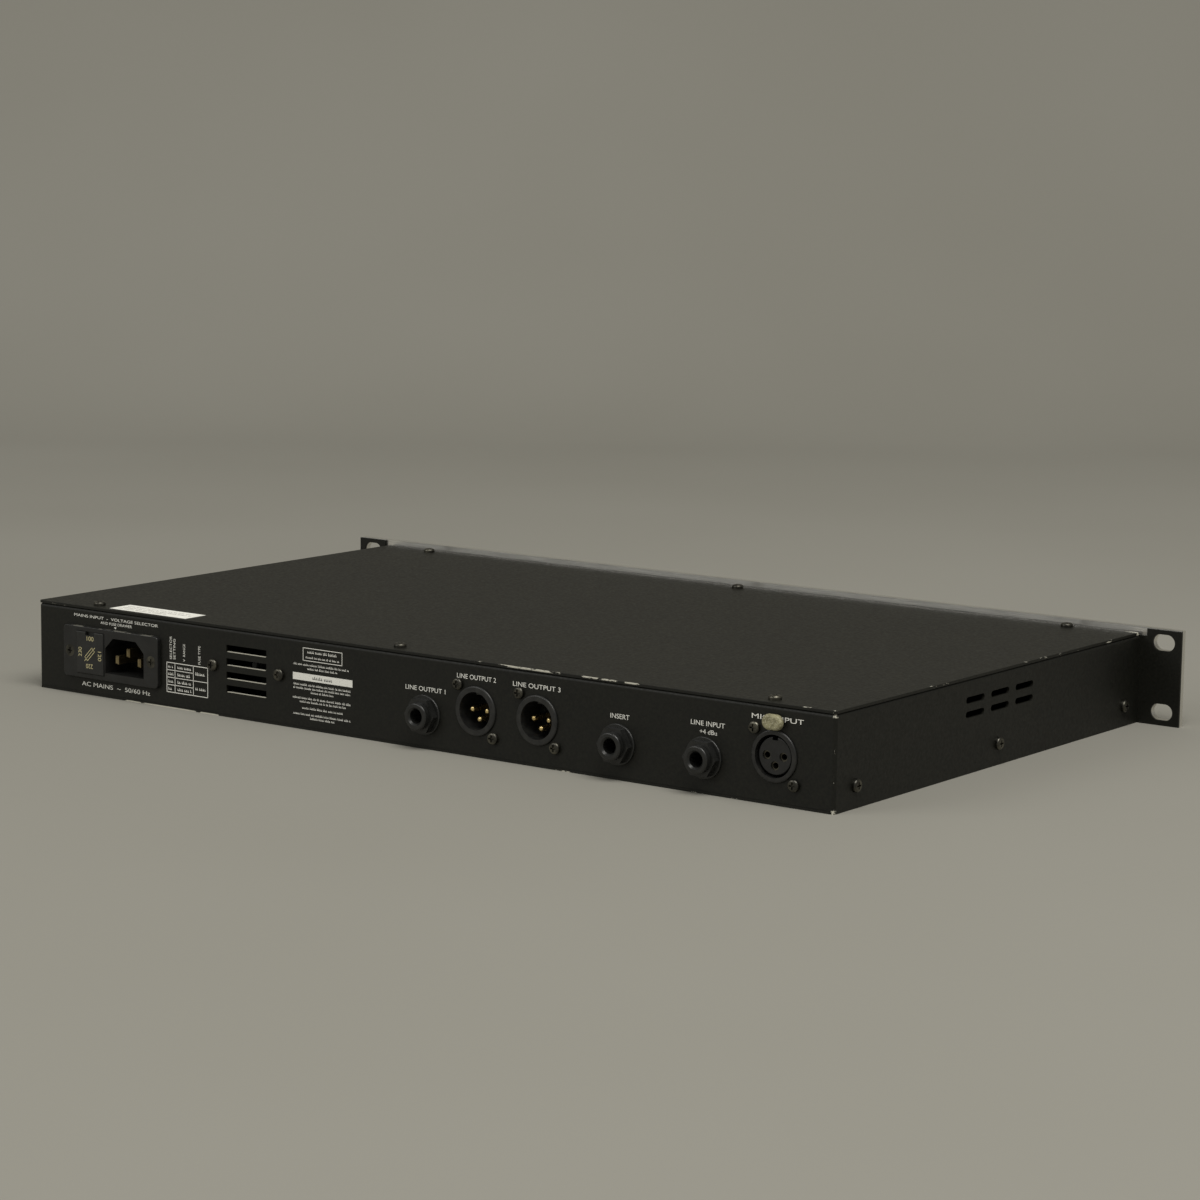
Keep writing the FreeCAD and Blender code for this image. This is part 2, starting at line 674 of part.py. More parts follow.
def case_screws():
    """Cover, side and rear bracket screws."""
    one = pan_screw(HEAD_RADIUS, HEAD_HEIGHT, M3_RADIUS, SCREW_LENGTH)
    screws = [placed(one, at(x, y, COVER_TOP), UP) for row in (0, 1) for x, y in cover_row(row)]
    for y in SIDE_SCREWS_Y:
        screws.append(placed(one, at(CASE_SIDE, y, SIDE_SCREW_Z), EAST))
        screws.append(placed(one, at(-CASE_SIDE, y, SIDE_SCREW_Z), -EAST))
    screws += [placed(one, at(x, CASE_DEPTH, z), REAR) for x, z in bracket_screw_places()]
    return screws


def clinch_nut():
    """Round self-clinching nut below the origin, its thread along Z."""
    bore = M3_RADIUS + THREAD_GAP
    body = rod(NUT_RADIUS, at(0, 0, -NUT_HEIGHT), UP, NUT_HEIGHT)
    return body.cut(rod(bore, at(0, 0, -OVERSHOOT), UP, 2 * OVERSHOOT))


def clinch_nuts():
    """Nuts behind the cover, side, bracket and inlet screws."""
    one = clinch_nut()
    under = CASE_TOP - SHEET
    nuts = [placed(one, at(x, y, under), UP) for row in (0, 1) for x, y in cover_row(row)]
    inside = TRAY_SIDE - SHEET
    for y in SIDE_SCREWS_Y:
        nuts.append(placed(one, at(inside, y, SIDE_SCREW_Z), EAST))
        nuts.append(placed(one, at(-inside, y, SIDE_SCREW_Z), -EAST))
    nuts += [placed(one, at(x, INNER_REAR - SHEET, z), REAR) for x, z in bracket_screw_places()]
    nuts += [placed(one, at(x, INNER_REAR, z), REAR) for x, z in inlet_screw_places()]
    return nuts


def xlr_screws():
    """Thread-forming screws through the rear panel into the XLR bodies."""
    one = pan_screw(XLR_SCREW_HEAD, HEAD_HEIGHT, M3_RADIUS, SCREW_LENGTH)
    return [placed(one, at(x, CASE_DEPTH, z), REAR) for x, z in xlr_screw_places()]


# ---- mains inlet ----------------------------------------------------------------------------
def inlet_cavity(grow, y):
    """Outline of the appliance connector: a rectangle with its top corners cut off."""
    x = INLET_X + CAVITY_OFFSET
    half = CAVITY_WIDTH / 2 + grow
    low = INLET_Z - CAVITY_HEIGHT / 2 - grow
    high = INLET_Z + CAVITY_HEIGHT / 2 + grow
    cut = CAVITY_CHAMFER
    outline = [
        (x - half, low),
        (x + half, low),
        (x + half, high - cut),
        (x + half - cut, high),
        (x - half + cut, high),
        (x - half, high - cut),
    ]
    return prism_y(outline, y)


def drawer_space(grow, y):
    x = INLET_X + DRAWER_OFFSET
    return block(span(x, DRAWER_WIDTH + 2 * grow), y, span(INLET_Z, DRAWER_HEIGHT + 2 * grow))


def mains_inlet():
    """Moulded inlet with a flange outside the rear panel."""
    face = CASE_DEPTH + INLET_FLANGE_THICKNESS
    flange = block(
        span(INLET_X, INLET_FLANGE_WIDTH), (CASE_DEPTH, face), span(INLET_Z, INLET_FLANGE_HEIGHT)
    )
    flange = rounded(flange, INLET_CORNER, lambda e: runs_along(e, REAR))
    flange = rounded(flange, PANEL_EDGE, lambda e: near(e.CenterOfMass.y, face))
    back = CASE_DEPTH - INLET_BODY_DEPTH
    body = block(span(INLET_X, INLET_BODY_WIDTH), (back, CASE_DEPTH), span(INLET_Z, INLET_BODY_HEIGHT))
    shape = flange.fuse(body)
    shape = shape.cut(inlet_cavity(0, (face - CAVITY_DEPTH, face + 1)))
    shape = shape.cut(drawer_space(DRAWER_GAP, (face - DRAWER_DEPTH - DRAWER_GAP, face + 1)))
    holes = [rod_y(M3_RADIUS, x, z, (back - 1, face + 1)) for x, z in inlet_screw_places()]
    holes += [countersink(x, z, face, THREAD_GAP) for x, z in inlet_screw_places()]
    holes += [blade_at(x, z, THREAD_GAP, BLADE_TAIL + 1) for x, z in blade_places()]
    return shape.cut(holes).removeSplitter()


def countersink(x, z, face, grow):
    """Cone of a countersunk head, flush with face."""
    wide = HEAD_RADIUS + grow
    narrow = M3_RADIUS + grow
    return Part.makeCone(wide, narrow, wide - narrow, at(x, face, z), FRONT)


def inlet_screws():
    """Countersunk screws of the inlet's flange."""
    face = CASE_DEPTH + INLET_FLANGE_THICKNESS
    screws = []
    for x, z in inlet_screw_places():
        head = countersink(x, z, face, 0)
        shank = rod(M3_RADIUS, at(x, face, z), FRONT, SCREW_LENGTH)
        reach = span(x, RECESS_SPAN)
        cross = [
            block(reach, (face - RECESS_DEPTH, face + 1), span(z, RECESS_WIDTH)),
            block(span(x, RECESS_WIDTH), (face - RECESS_DEPTH, face + 1), span(z, RECESS_SPAN)),
        ]
        screws.append(head.fuse(shank).cut(cross))
    return screws


def blade_places():
    """Earth in the middle, line and neutral lower at its sides."""
    x = INLET_X + CAVITY_OFFSET
    low = INLET_Z - BLADE_RISE / 2
    return [(x, low + BLADE_RISE), (x - BLADE_PITCH / 2, low), (x + BLADE_PITCH / 2, low)]


def blade_at(x, z, grow, tail):
    """One flat blade, from its tail behind the inlet to its tip in the cavity."""
    root = CASE_DEPTH + INLET_FLANGE_THICKNESS - CAVITY_DEPTH
    back = CASE_DEPTH - INLET_BODY_DEPTH - tail
    wide = BLADE_THICKNESS + 2 * grow
    high = BLADE_WIDTH + 2 * grow
    return block(span(x, wide), (back, root + BLADE_LENGTH), span(z, high))


def inlet_blades():
    blades = []
    for x, z in blade_places():
        blade = blade_at(x, z, 0, BLADE_TAIL)
        tip = blade.BoundBox.YMax
        edges = [e for e in blade.Edges if near(e.CenterOfMass.y, tip)]
        blades.append(blade.makeChamfer(BLADE_CHAMFER, edges))
    return blades


def fuse_drawer():
    """Plug-in carrier: a face plate with a finger notch and a tray for the fuse."""
    face = CASE_DEPTH + INLET_FLANGE_THICKNESS
    shape = drawer_space(0, (face - DRAWER_DEPTH, face + DRAWER_PROUD))
    shape = rounded(shape, PANEL_EDGE, lambda e: near(e.CenterOfMass.y, face + DRAWER_PROUD))
    x = INLET_X + DRAWER_OFFSET
    inner = DRAWER_WIDTH / 2 - DRAWER_WALL
    tray = block(
        (x - inner, x + inner),
        (face - DRAWER_DEPTH + DRAWER_WALL, face - DRAWER_WALL),
        (INLET_Z - DRAWER_HEIGHT / 2 + DRAWER_WALL, INLET_Z + DRAWER_HEIGHT),
    )
    notch = block(
        span(x, DRAWER_WIDTH / 3),
        (face - DRAWER_WALL / 2, face + 2),
        (INLET_Z + DRAWER_HEIGHT / 2 - DRAWER_WALL, TOP),
    )
    return shape.cut([tray, notch]).removeSplitter()


def fuse():
    """Cartridge fuse lying in the drawer: glass tube between two caps."""
    face = CASE_DEPTH + INLET_FLANGE_THICKNESS
    middle = face - DRAWER_DEPTH / 2
    low = INLET_Z - DRAWER_HEIGHT / 2 + DRAWER_WALL + FUSE_RADIUS
    x = INLET_X + DRAWER_OFFSET
    start = middle - FUSE_LENGTH / 2
    tube = rod_y(FUSE_RADIUS - FUSE_CAP_WALL, x, low, (start, start + FUSE_LENGTH))
    cap = FUSE_LENGTH / 4
    caps = ((start, start + cap), (start + 3 * cap, start + FUSE_LENGTH))
    return tube.fuse([rod_y(FUSE_RADIUS, x, low, y) for y in caps]).removeSplitter()


# ---- XLR connectors -------------------------------------------------------------------------
def xlr_outside(x, z):
    """Nose through the rear panel with a rounded rim, and the block behind it."""
    face = CASE_DEPTH + XLR_PROUD
    nose = rod_y(XLR_RADIUS, x, z, (INNER_REAR - 1, face))
    nose = rounded(nose, XLR_LIP, lambda e: near(e.CenterOfMass.y, face))
    body = block(
        span(x, XLR_BODY_WIDTH),
        (INNER_REAR - XLR_BODY_LENGTH, INNER_REAR),
        (BOARD_TOP + XLR_SEAT_GAP, z + XLR_BODY_HEIGHT / 2),
    )
    depth = (CASE_DEPTH - SCREW_LENGTH - 1, CASE_DEPTH)
    screws = [
        rod_y(M3_RADIUS + THREAD_GAP, x + side * XLR_SCREW_DX, z + side * XLR_SCREW_DZ, depth)
        for side in (-1, 1)
    ]
    return nose.fuse(body).cut(screws)


def pin_places(x, z):
    """Three contacts: two above, one below."""
    high = z + XLR_PIN_RISE
    return [(x - XLR_PIN_PITCH, high), (x + XLR_PIN_PITCH, high), (x, high - XLR_PIN_DROP)]


def xlr_out_shell(x):
    """Output socket, open round its three pins, with a key rib at the top."""
    face = CASE_DEPTH + XLR_PROUD
    floor = face - XLR_SOCKET_DEPTH
    well = rod_y(XLR_SOCKET_RADIUS, x, XLR_Z, (floor, face + 1))
    top = XLR_Z + XLR_SOCKET_RADIUS
    rib = block(span(x, XLR_KEY_WIDTH), (floor, face - XLR_KEY_SETBACK), (top - XLR_KEY_HEIGHT, top + 1))
    tail = (floor - XLR_PIN_TAIL - 1, floor + 1)
    pins = [rod_y(XLR_PIN_RADIUS + THREAD_GAP, px, pz, tail) for px, pz in pin_places(x, XLR_Z)]
    return xlr_outside(x, XLR_Z).cut([well.cut(rib)] + pins)


def xlr_pins():
    """Round-tipped pins of both outputs."""
    floor = CASE_DEPTH + XLR_PROUD - XLR_SOCKET_DEPTH
    pins = []
    for x in XLR_OUT_X:
        for px, pz in pin_places(x, XLR_Z):
            tip = floor + XLR_PIN_LENGTH
            pin = rod_y(XLR_PIN_RADIUS, px, pz, (floor - XLR_PIN_TAIL, tip))
            pins.append(rounded(pin, XLR_PIN_RADIUS * XLR_PIN_TIP, lambda e: near(e.CenterOfMass.y, tip)))
    return pins


def xlr_latch():
    """Push tab above the mic socket, in front of its rim, with a flat stem through the panel."""
    back = CASE_DEPTH + XLR_PROUD + LATCH_GAP
    face = CASE_DEPTH + LATCH_PROUD
    z = XLR_Z + LATCH_RISE
    tab = slot_y(XLR_MIC_X, z, LATCH_WIDTH, LATCH_HEIGHT, (back, face)).removeSplitter()
    tab = rounded(tab, LATCH_ROUND, lambda e: near(e.CenterOfMass.y, face))
    stem_y = (INNER_REAR - XLR_BODY_LENGTH / 2, back + 1)
    stem = block(span(XLR_MIC_X, LATCH_STEM_WIDTH), stem_y, span(z, LATCH_STEM_HEIGHT))
    return tab.fuse(stem).removeSplitter()


def xlr_mic_shell():
    """Input socket: shell with a ring-shaped gap round its insert and a channel for the latch."""
    face = CASE_DEPTH + XLR_PROUD
    floor = face - XLR_SOCKET_DEPTH
    well = rod_y(XLR_INSERT_RADIUS + XLR_RING_GAP, XLR_MIC_X, XLR_Z, (floor, face + 1))
    channel = latch_slot(LATCH_GAP, (INNER_REAR - XLR_BODY_LENGTH / 2 - LATCH_GAP, CASE_DEPTH + 2))
    return xlr_outside(XLR_MIC_X, XLR_Z).cut([well, channel])


def xlr_insert():
    """Contact carrier of the mic socket, with a key way at its top."""
    face = CASE_DEPTH + XLR_PROUD - XLR_INSERT_DEPTH
    floor = CASE_DEPTH + XLR_PROUD - XLR_SOCKET_DEPTH
    shape = rod_y(XLR_INSERT_RADIUS, XLR_MIC_X, XLR_Z, (floor, face))
    shape = rounded(shape, XLR_INSERT_ROUND, lambda e: near(e.CenterOfMass.y, face))
    top = XLR_Z + XLR_INSERT_RADIUS
    key = block(span(XLR_MIC_X, XLR_KEYWAY_WIDTH), (floor - 1, face + 1), (top - XLR_KEYWAY_DEPTH, top + 1))
    holes = [
        rod_y(XLR_CONTACT_RADIUS, x, z, (floor - 1, face + 1)) for x, z in pin_places(XLR_MIC_X, XLR_Z)
    ]
    return shape.cut(holes + [key])


def xlr_contacts():
    """Sleeve contacts in the insert."""
    face = CASE_DEPTH + XLR_PROUD - XLR_INSERT_DEPTH - XLR_CONTACT_SETBACK
    floor = CASE_DEPTH + XLR_PROUD - XLR_SOCKET_DEPTH
    sleeves = []
    for x, z in pin_places(XLR_MIC_X, XLR_Z):
        sleeve = rod_y(XLR_CONTACT_RADIUS - THREAD_GAP, x, z, (floor, face))
        sleeves.append(sleeve.cut(rod_y(XLR_CONTACT_BORE, x, z, (floor + 1, face + 1))))
    return sleeves


# ---- jack sockets ---------------------------------------------------------------------------
def jack_socket(x):
    """Body behind the panel and the threaded bush through it, with one bore."""
    face = CASE_DEPTH + JACK_BUSH_PROUD
    body = block(
        span(x, JACK_BODY_WIDTH),
        (INNER_REAR - JACK_BODY_LENGTH, INNER_REAR),
        (BOARD_TOP, JACK_Z + JACK_BODY_TOP),
    )
    bush = rod_y(JACK_BUSH_RADIUS, x, JACK_Z, (INNER_REAR - 1, face))
    bush = rounded(bush, JACK_ROUND, lambda e: near(e.CenterOfMass.y, face))
    bore = rod_y(JACK_BORE, x, JACK_Z, (INNER_REAR - JACK_BODY_LENGTH + SHEET, face + 1))
    mouth = Part.makeCone(JACK_BORE + JACK_ROUND, JACK_BORE, JACK_ROUND, at(x, face, JACK_Z), FRONT)
    return body.fuse(bush).cut([bore, mouth]).removeSplitter()


def jack_washers():
    """Wide moulded washers against the rear panel."""
    rings = []
    for x in JACK_X:
        outer = CASE_DEPTH + JACK_WASHER_THICKNESS
        ring = rod_y(JACK_WASHER_RADIUS, x, JACK_Z, (CASE_DEPTH, outer))
        ring = rounded(ring, JACK_ROUND / 2, lambda e: near(e.CenterOfMass.y, outer))
        bore = rod_y(JACK_BUSH_RADIUS + THREAD_GAP, x, JACK_Z, (CASE_DEPTH - 1, outer + 1))
        rings.append(ring.cut(bore))
    return rings


def jack_nuts():
    """Hexagon nuts with chamfered corners on the bushes."""
    low = CASE_DEPTH + JACK_WASHER_THICKNESS
    high = low + JACK_NUT_THICKNESS
    corner = JACK_NUT_FLATS / math.sqrt(3)
    tip = corner - JACK_NUT_CHAMFER
    nuts = []
    for x in JACK_X:
        nut = hexagon_y(JACK_NUT_FLATS, x, JACK_Z, (low, high))
        cone = Part.makeCone(corner + JACK_NUT_THICKNESS, tip, JACK_NUT_THICKNESS + JACK_NUT_CHAMFER,
                             at(x, low, JACK_Z), REAR)
        bore = rod_y(JACK_BUSH_RADIUS + THREAD_GAP, x, JACK_Z, (low - 1, high + 1))
        nuts.append(nut.common(cone).cut(bore))
    return nuts


# ---- main board -----------------------------------------------------------------------------
def board_fixings():
    """The board's screw places: three columns, in front and ahead of the connectors."""
    step = (BOARD_RIGHT - BOARD_LEFT - 2 * BOARD_SCREW_INSET) / (BOARD_SCREW_COLUMNS - 1)
    columns = [BOARD_LEFT + BOARD_SCREW_INSET + step * column for column in range(BOARD_SCREW_COLUMNS)]
    rows = (BOARD_FRONT + BOARD_SCREW_INSET, BOARD_REAR - BOARD_SCREW_REAR)
    return [(x, y) for y in rows for x in columns]


def main_board():
    shape = block((BOARD_LEFT, BOARD_RIGHT), (BOARD_FRONT, BOARD_REAR), (BOARD_BOTTOM, BOARD_TOP))
    shape = rounded(shape, BOARD_CORNER, lambda e: runs_along(e, UP))
    return shape.cut([rod(M3_HOLE, at(x, y, BOARD_BOTTOM - 1), UP, OVERSHOOT) for x, y in board_fixings()])


def standoffs():
    """Self-clinching pillars, flush with the underside of the tray."""
    bore = M3_RADIUS + THREAD_GAP
    pillars = []
    for x, y in board_fixings():
        pillar = rod(STANDOFF_RADIUS, at(x, y, FLOOR), UP, STANDOFF_HEIGHT)
        pillar = pillar.fuse(rod(STANDOFF_SPIGOT, at(x, y, BOTTOM), UP, SHEET))
        thread = rod(bore, at(x, y, BOTTOM + STANDOFF_FLOOR), UP, OVERSHOOT)
        pillars.append(pillar.cut(thread).removeSplitter())
    return pillars


def board_screws():
    """Short pan-head screws of the main board and the two regulators."""
    one = pan_screw(HEAD_RADIUS, HEAD_HEIGHT, M3_RADIUS, BOARD_SCREW_LENGTH)
    screws = [placed(one, at(x, y, BOARD_TOP), UP) for x, y in board_fixings()]
    tab = bracket_front() - REGULATOR_TAB
    screws += [placed(one, at(x, tab, regulator_hole()), FRONT) for x in regulator_places()]
    return screws


def bracket_front():
    return INNER_REAR - BRACKET_STAND - SHEET


def regulator_places():
    return [REAR_VENT_X + side * REGULATOR_PITCH / 2 for side in (-1, 1)]


def regulator_hole():
    """Height of the screw through a regulator's tab."""
    return BRACKET_BOTTOM + REGULATOR_SIZE[2] - REGULATOR_HOLE_DROP


def heat_sink_bracket():
    """Plate that stands off behind the rear vents on two feet."""
    half = BRACKET_WIDTH / 2
    inner = REAR_VENT_LENGTH / 2 + SHEET
    height = (BRACKET_BOTTOM, BRACKET_TOP)
    front = bracket_front()
    plate = block(span(REAR_VENT_X, 2 * inner + 2 * SHEET), (front, front + SHEET), height)
    legs = [
        block(span(REAR_VENT_X + side * (inner + SHEET / 2), SHEET), (front, INNER_REAR), height)
        for side in (-1, 1)
    ]
    feet = [
        block(
            span(REAR_VENT_X + side * (inner + half) / 2, half - inner),
            (INNER_REAR - SHEET, INNER_REAR),
            height,
        )
        for side in (-1, 1)
    ]
    shape = plate.fuse(legs + feet).removeSplitter()
    through = (front - 1, CASE_DEPTH)
    holes = [rod_y(M3_HOLE, x, z, through) for x, z in bracket_screw_places()]
    holes += [rod_y(M3_RADIUS, x, regulator_hole(), through) for x in regulator_places()]
    return shape.cut(holes)


def regulators():
    """Power regulators: moulded body, metal tab and three leads down to the board."""
    wide, deep, high = REGULATOR_SIZE
    back = bracket_front()
    parts = []
    for x in regulator_places():
        tab = block(span(x, wide), (back - REGULATOR_TAB, back), (BRACKET_BOTTOM, BRACKET_BOTTOM + high))
        body_top = BRACKET_BOTTOM + REGULATOR_BODY_SHARE * high
        body = block(span(x, wide), (back - deep, back), (BRACKET_BOTTOM, body_top))
        lead_y = span(back - deep / 2, LEAD_THICKNESS)
        leads = [
            block(span(x + lead * LEAD_PITCH, LEAD_WIDTH), lead_y, (BOARD_TOP, BRACKET_BOTTOM))
            for lead in (-1, 0, 1)
        ]
        hole = rod_y(M3_RADIUS, x, regulator_hole(), (back - deep, back + 1))
        parts.append(tab.fuse([body] + leads).cut(hole).removeSplitter())
    return parts


def can(radius, height, x, y):
    """Electrolytic capacitor with its crimped groove and scored top."""
    low = BOARD_TOP
    shape = rod(radius, at(x, y, low), UP, height)
    groove = Part.makeTorus(radius + CAN_GROOVE_OUT, CAN_GROOVE_RADIUS, at(x, y, low + CAN_GROOVE_RISE), UP)
    long = CAN_SCORE_SHARE * radius
    depth = (low + height - CAN_SCORE_DEPTH, low + height + 1)
    score = [
        block(span(x, long), span(y, CAN_SCORE_WIDTH), depth),
        block(span(x, CAN_SCORE_WIDTH), span(y, long), depth),
    ]
    return shape.cut([groove] + score)


def capacitors():
    """Reservoir cans in a row, and a row of small ones beside each chip."""
    cans = []
    for index in range(CAPACITOR_COUNT):
        x = BOARD_RIGHT - (index + 1) * (2 * CAPACITOR_RADIUS + CAPACITOR_GAP)
        cans.append(can(CAPACITOR_RADIUS, CAPACITOR_HEIGHT, x, BOARD_FRONT + CAPACITOR_ROW))
    beside = CHIP_LENGTH / 2 + SMALL_CAPACITOR_GAP
    for x, y in chip_places():
        cans.append(can(SMALL_CAPACITOR_RADIUS, SMALL_CAPACITOR_HEIGHT, x + beside, y))
    return cans


def chip_places():
    places = []
    for column in range(CHIP_COLUMNS):
        for row in range(CHIP_ROWS):
            x = BOARD_LEFT + CHIP_MARGIN + column * CHIP_PITCH_X
            places.append((x, BOARD_FRONT + CHIP_MARGIN + row * CHIP_PITCH_Y))
    return places


def chips():
    """Dual in-line circuits with a polarity notch."""
    parts = []
    for x, y in chip_places():
        body = block(span(x, CHIP_LENGTH), span(y, CHIP_WIDTH), (BOARD_TOP, BOARD_TOP + CHIP_HEIGHT))
        notch = rod(CHIP_NOTCH, at(x - CHIP_LENGTH / 2, y, BOARD_TOP + CHIP_HEIGHT - 1), UP, 2)
        parts.append(body.cut(notch))
    return parts


def headers():
    """Ribbon headers on the main board and on the control board."""
    wide, deep, high = HEADER_SIZE
    front = BOARD_FRONT + HEADER_INSET
    level = BOARD_TOP + high + RIBBON_RISE
    main = block(span(RIBBON_X, wide), (front, front + deep), (BOARD_TOP, BOARD_TOP + high))
    control = block(span(RIBBON_X, wide), (CONTROL_BACK, CONTROL_BACK + high), span(level, deep))
    return [main, control]


def ribbon_cable():
    """Flat cable from one header up, forward and into the other."""
    wide, deep, high = HEADER_SIZE
    foot = BOARD_FRONT + HEADER_INSET + deep / 2
    level = BOARD_TOP + high + RIBBON_RISE
    half = RIBBON_THICKNESS / 2
    across = span(RIBBON_X, RIBBON_WIDTH)
    riser = block(across, (foot - half, foot + half), (BOARD_TOP + high, level + half))
    run = block(across, (CONTROL_BACK + high, foot + half), (level - half, level + half))

    def bent(edge):
        centre = edge.CenterOfMass
        return runs_along(edge, EAST) and near(centre.y, foot + half) and near(centre.z, level + half)

    return rounded(riser.fuse(run).removeSplitter(), half, bent)


# ---- transformer ----------------------------------------------------------------------------
def ring(outer, inner, low, high):
    """Flat ring on the transformer's axis."""
    start = at(TOROID_X, TOROID_Y, low)
    return rod(outer, start, UP, high - low).cut(rod(inner, start, UP, high - low))


def transformer_levels():
    """Heights of the lower pad, winding, upper pad and washer, then of the bolt's head."""
    steps = (PAD_THICKNESS, TOROID_HEIGHT, PAD_THICKNESS, DISH_THICKNESS)
    levels = [FLOOR]
    for step in steps:
        levels.append(levels[-1] + step)
    return levels


def transformer_winding():
    levels = transformer_levels()
    shape = ring(TOROID_RADIUS, TOROID_HOLE, levels[1], levels[2])
    shape = rounded(shape, TOROID_ROUND, lambda e: closed(e) and near(e.Curve.Radius, TOROID_RADIUS))
    return rounded(shape, TOROID_ROUND / 2, lambda e: closed(e) and near(e.Curve.Radius, TOROID_HOLE))


def closed(edge):
    """True for a full circle."""
    return len(edge.Vertexes) == 1 and hasattr(edge.Curve, "Radius")


def transformer_pads():
    levels = transformer_levels()
    hole = BOLT_RADIUS + SHEET_GAP
    low = ring(TOROID_RADIUS - TOROID_ROUND, hole, levels[0], levels[1])
    high = ring(DISH_RADIUS + 1, hole, levels[2], levels[3])
    return [low, high]


def transformer_washer():
    levels = transformer_levels()
    return ring(DISH_RADIUS, BOLT_RADIUS + SHEET_GAP, levels[3], levels[4])


def transformer_bolt():
    """Hexagon-headed bolt down through the winding into the tray's tapped hole."""
    seat = transformer_levels()[-1]
    radius = BOLT_HEAD_FLATS / math.sqrt(3)
    turns = [side * math.pi / 3 for side in range(6)]
    corners = [at(radius * math.cos(turn), radius * math.sin(turn), 0) for turn in turns]
    head = Part.Face(Part.makePolygon(corners + corners[:1])).extrude(UP * BOLT_HEAD_HEIGHT)
    shank = rod(BOLT_RADIUS, at(0, 0, BOTTOM - seat), UP, seat - BOTTOM)
    shape = head.fuse(shank)
    shape.translate(at(TOROID_X, TOROID_Y, seat))
    return shape


def wire(points):
    """Insulated wire of straight runs with round corners."""
    shape = None
    for start, end in zip(points, points[1:]):
        line = at(*end) - at(*start)
        run = rod(WIRE_RADIUS, at(*start), line, line.Length)
        shape = run if shape is None else shape.fuse([run, Part.makeSphere(WIRE_RADIUS, at(*start))])
    return shape.removeSplitter()


def mains_wires():
    """Live and neutral from the inlet to the power switch, and two windings to the board."""
    tail = CASE_DEPTH - INLET_BODY_DEPTH - BLADE_TAIL
    wires = []
    for index, (x, z) in enumerate(blade_places()[1:]):
        side = WIRE_WAY - WIRE_PITCH * index
        turn = tail - WIRE_TURN - WIRE_PITCH * index
        front = ROCKER_DEPTH + WIRE_FRONT + WIRE_PITCH * index
        stop = ROCKER_X + (1 - 2 * index) * ROCKER_WIDTH / 4
        path = [(x, tail), (x, turn), (side, turn), (side, front), (stop, front), (stop, ROCKER_DEPTH)]
        wires.append(wire([(px, py, z) for px, py in path]))
    rise = BOARD_TOP + WINDING_WIRE_RISE
    landing = BOARD_RIGHT - WINDING_WIRE_LANDING
    for index in (0, 1):
        y = TOROID_Y + WINDING_WIRE_Y + WINDING_WIRE_PITCH * index
        wires.append(wire([(TOROID_X - TOROID_RADIUS, y, rise), (landing, y, rise), (landing, y, BOARD_TOP)]))
    return wires


# ---- front controls -------------------------------------------------------------------------
def pots():
    """Potentiometer bodies with their threaded bushes through both panels."""
    parts = []
    for x in KNOB_X:
        body = block(span(x, POT_WIDTH), (0, POT_DEPTH), span(KNOB_Z, POT_HEIGHT))
        bush = rod_y(BUSH_RADIUS, x, KNOB_Z, (PANEL_FRONT - BUSH_PROUD, 1))
        bore = rod_y(SHAFT_RADIUS + SHAFT_GAP, x, KNOB_Z, (PANEL_FRONT - BUSH_PROUD - 1, POT_DEPTH - SHEET))
        parts.append(body.fuse(bush).cut(bore).removeSplitter())
    return parts


def pot_nuts():
    depth = (PANEL_FRONT - POT_NUT_THICKNESS, PANEL_FRONT)
    bore = BUSH_RADIUS + THREAD_GAP
    nuts = []
    for x in KNOB_X:
        nut = hexagon_y(POT_NUT_FLATS, x, KNOB_Z, depth)
        nuts.append(nut.cut(rod_y(bore, x, KNOB_Z, (PANEL_FRONT - OVERSHOOT, 0))))
    return nuts


def pot_shaft(x):
    """Turning shaft, from inside the potentiometer into the knob."""
    start = PANEL_FRONT - KNOB_CLEARANCE - KNOB_HEIGHT + KNOB_TOP
    return rod_y(SHAFT_RADIUS, x, KNOB_Z, (start, POT_DEPTH - SHEET - LATCH_GAP))


def knob(x):
    """Fluted knob with a pointer groove and a recess over the potentiometer's nut."""
    recess = BUSH_PROUD + 2 * SHEET_GAP
    profile = [
        (0, recess),
        (KNOB_NUT_RECESS, recess),
        (KNOB_NUT_RECESS, 0),
        (KNOB_RADIUS, 0),
        (KNOB_RADIUS, KNOB_SKIRT),
        (KNOB_TOP_RADIUS + KNOB_DRAFT, KNOB_SKIRT + KNOB_CHAMFER),
        (KNOB_TOP_RADIUS, KNOB_HEIGHT - KNOB_CHAMFER),
        (KNOB_TOP_RADIUS - KNOB_CHAMFER, KNOB_HEIGHT),
        (0, KNOB_HEIGHT),
    ]
    shape = turned(profile, at(0, 0, 0), UP)
    cuts = [rod(SHAFT_RADIUS, at(0, 0, -1), UP, KNOB_HEIGHT - KNOB_TOP + 1)]
    ring_radius = KNOB_TOP_RADIUS + KNOB_FLUTE_OUT
    for flute in range(KNOB_FLUTES):
        turn = 2 * math.pi * (flute + 0.5) / KNOB_FLUTES
        centre = at(ring_radius * math.cos(turn), ring_radius * math.sin(turn), KNOB_FLUTE_START)
        cuts.append(rod(KNOB_FLUTE_RADIUS, centre, UP, KNOB_HEIGHT))
    cuts.append(block(
        span(0, KNOB_POINTER_WIDTH),
        (KNOB_POINTER_START, KNOB_RADIUS),
        (KNOB_HEIGHT - KNOB_POINTER_DEPTH, KNOB_HEIGHT + 1),
    ))
    return placed(shape.cut(cuts), at(x, PANEL_FRONT - KNOB_CLEARANCE, KNOB_Z), FRONT)


def button_rear():
    """Rear end of a cap at rest, inside the sub-panel."""
    return PANEL_BACK + SHEET / 2


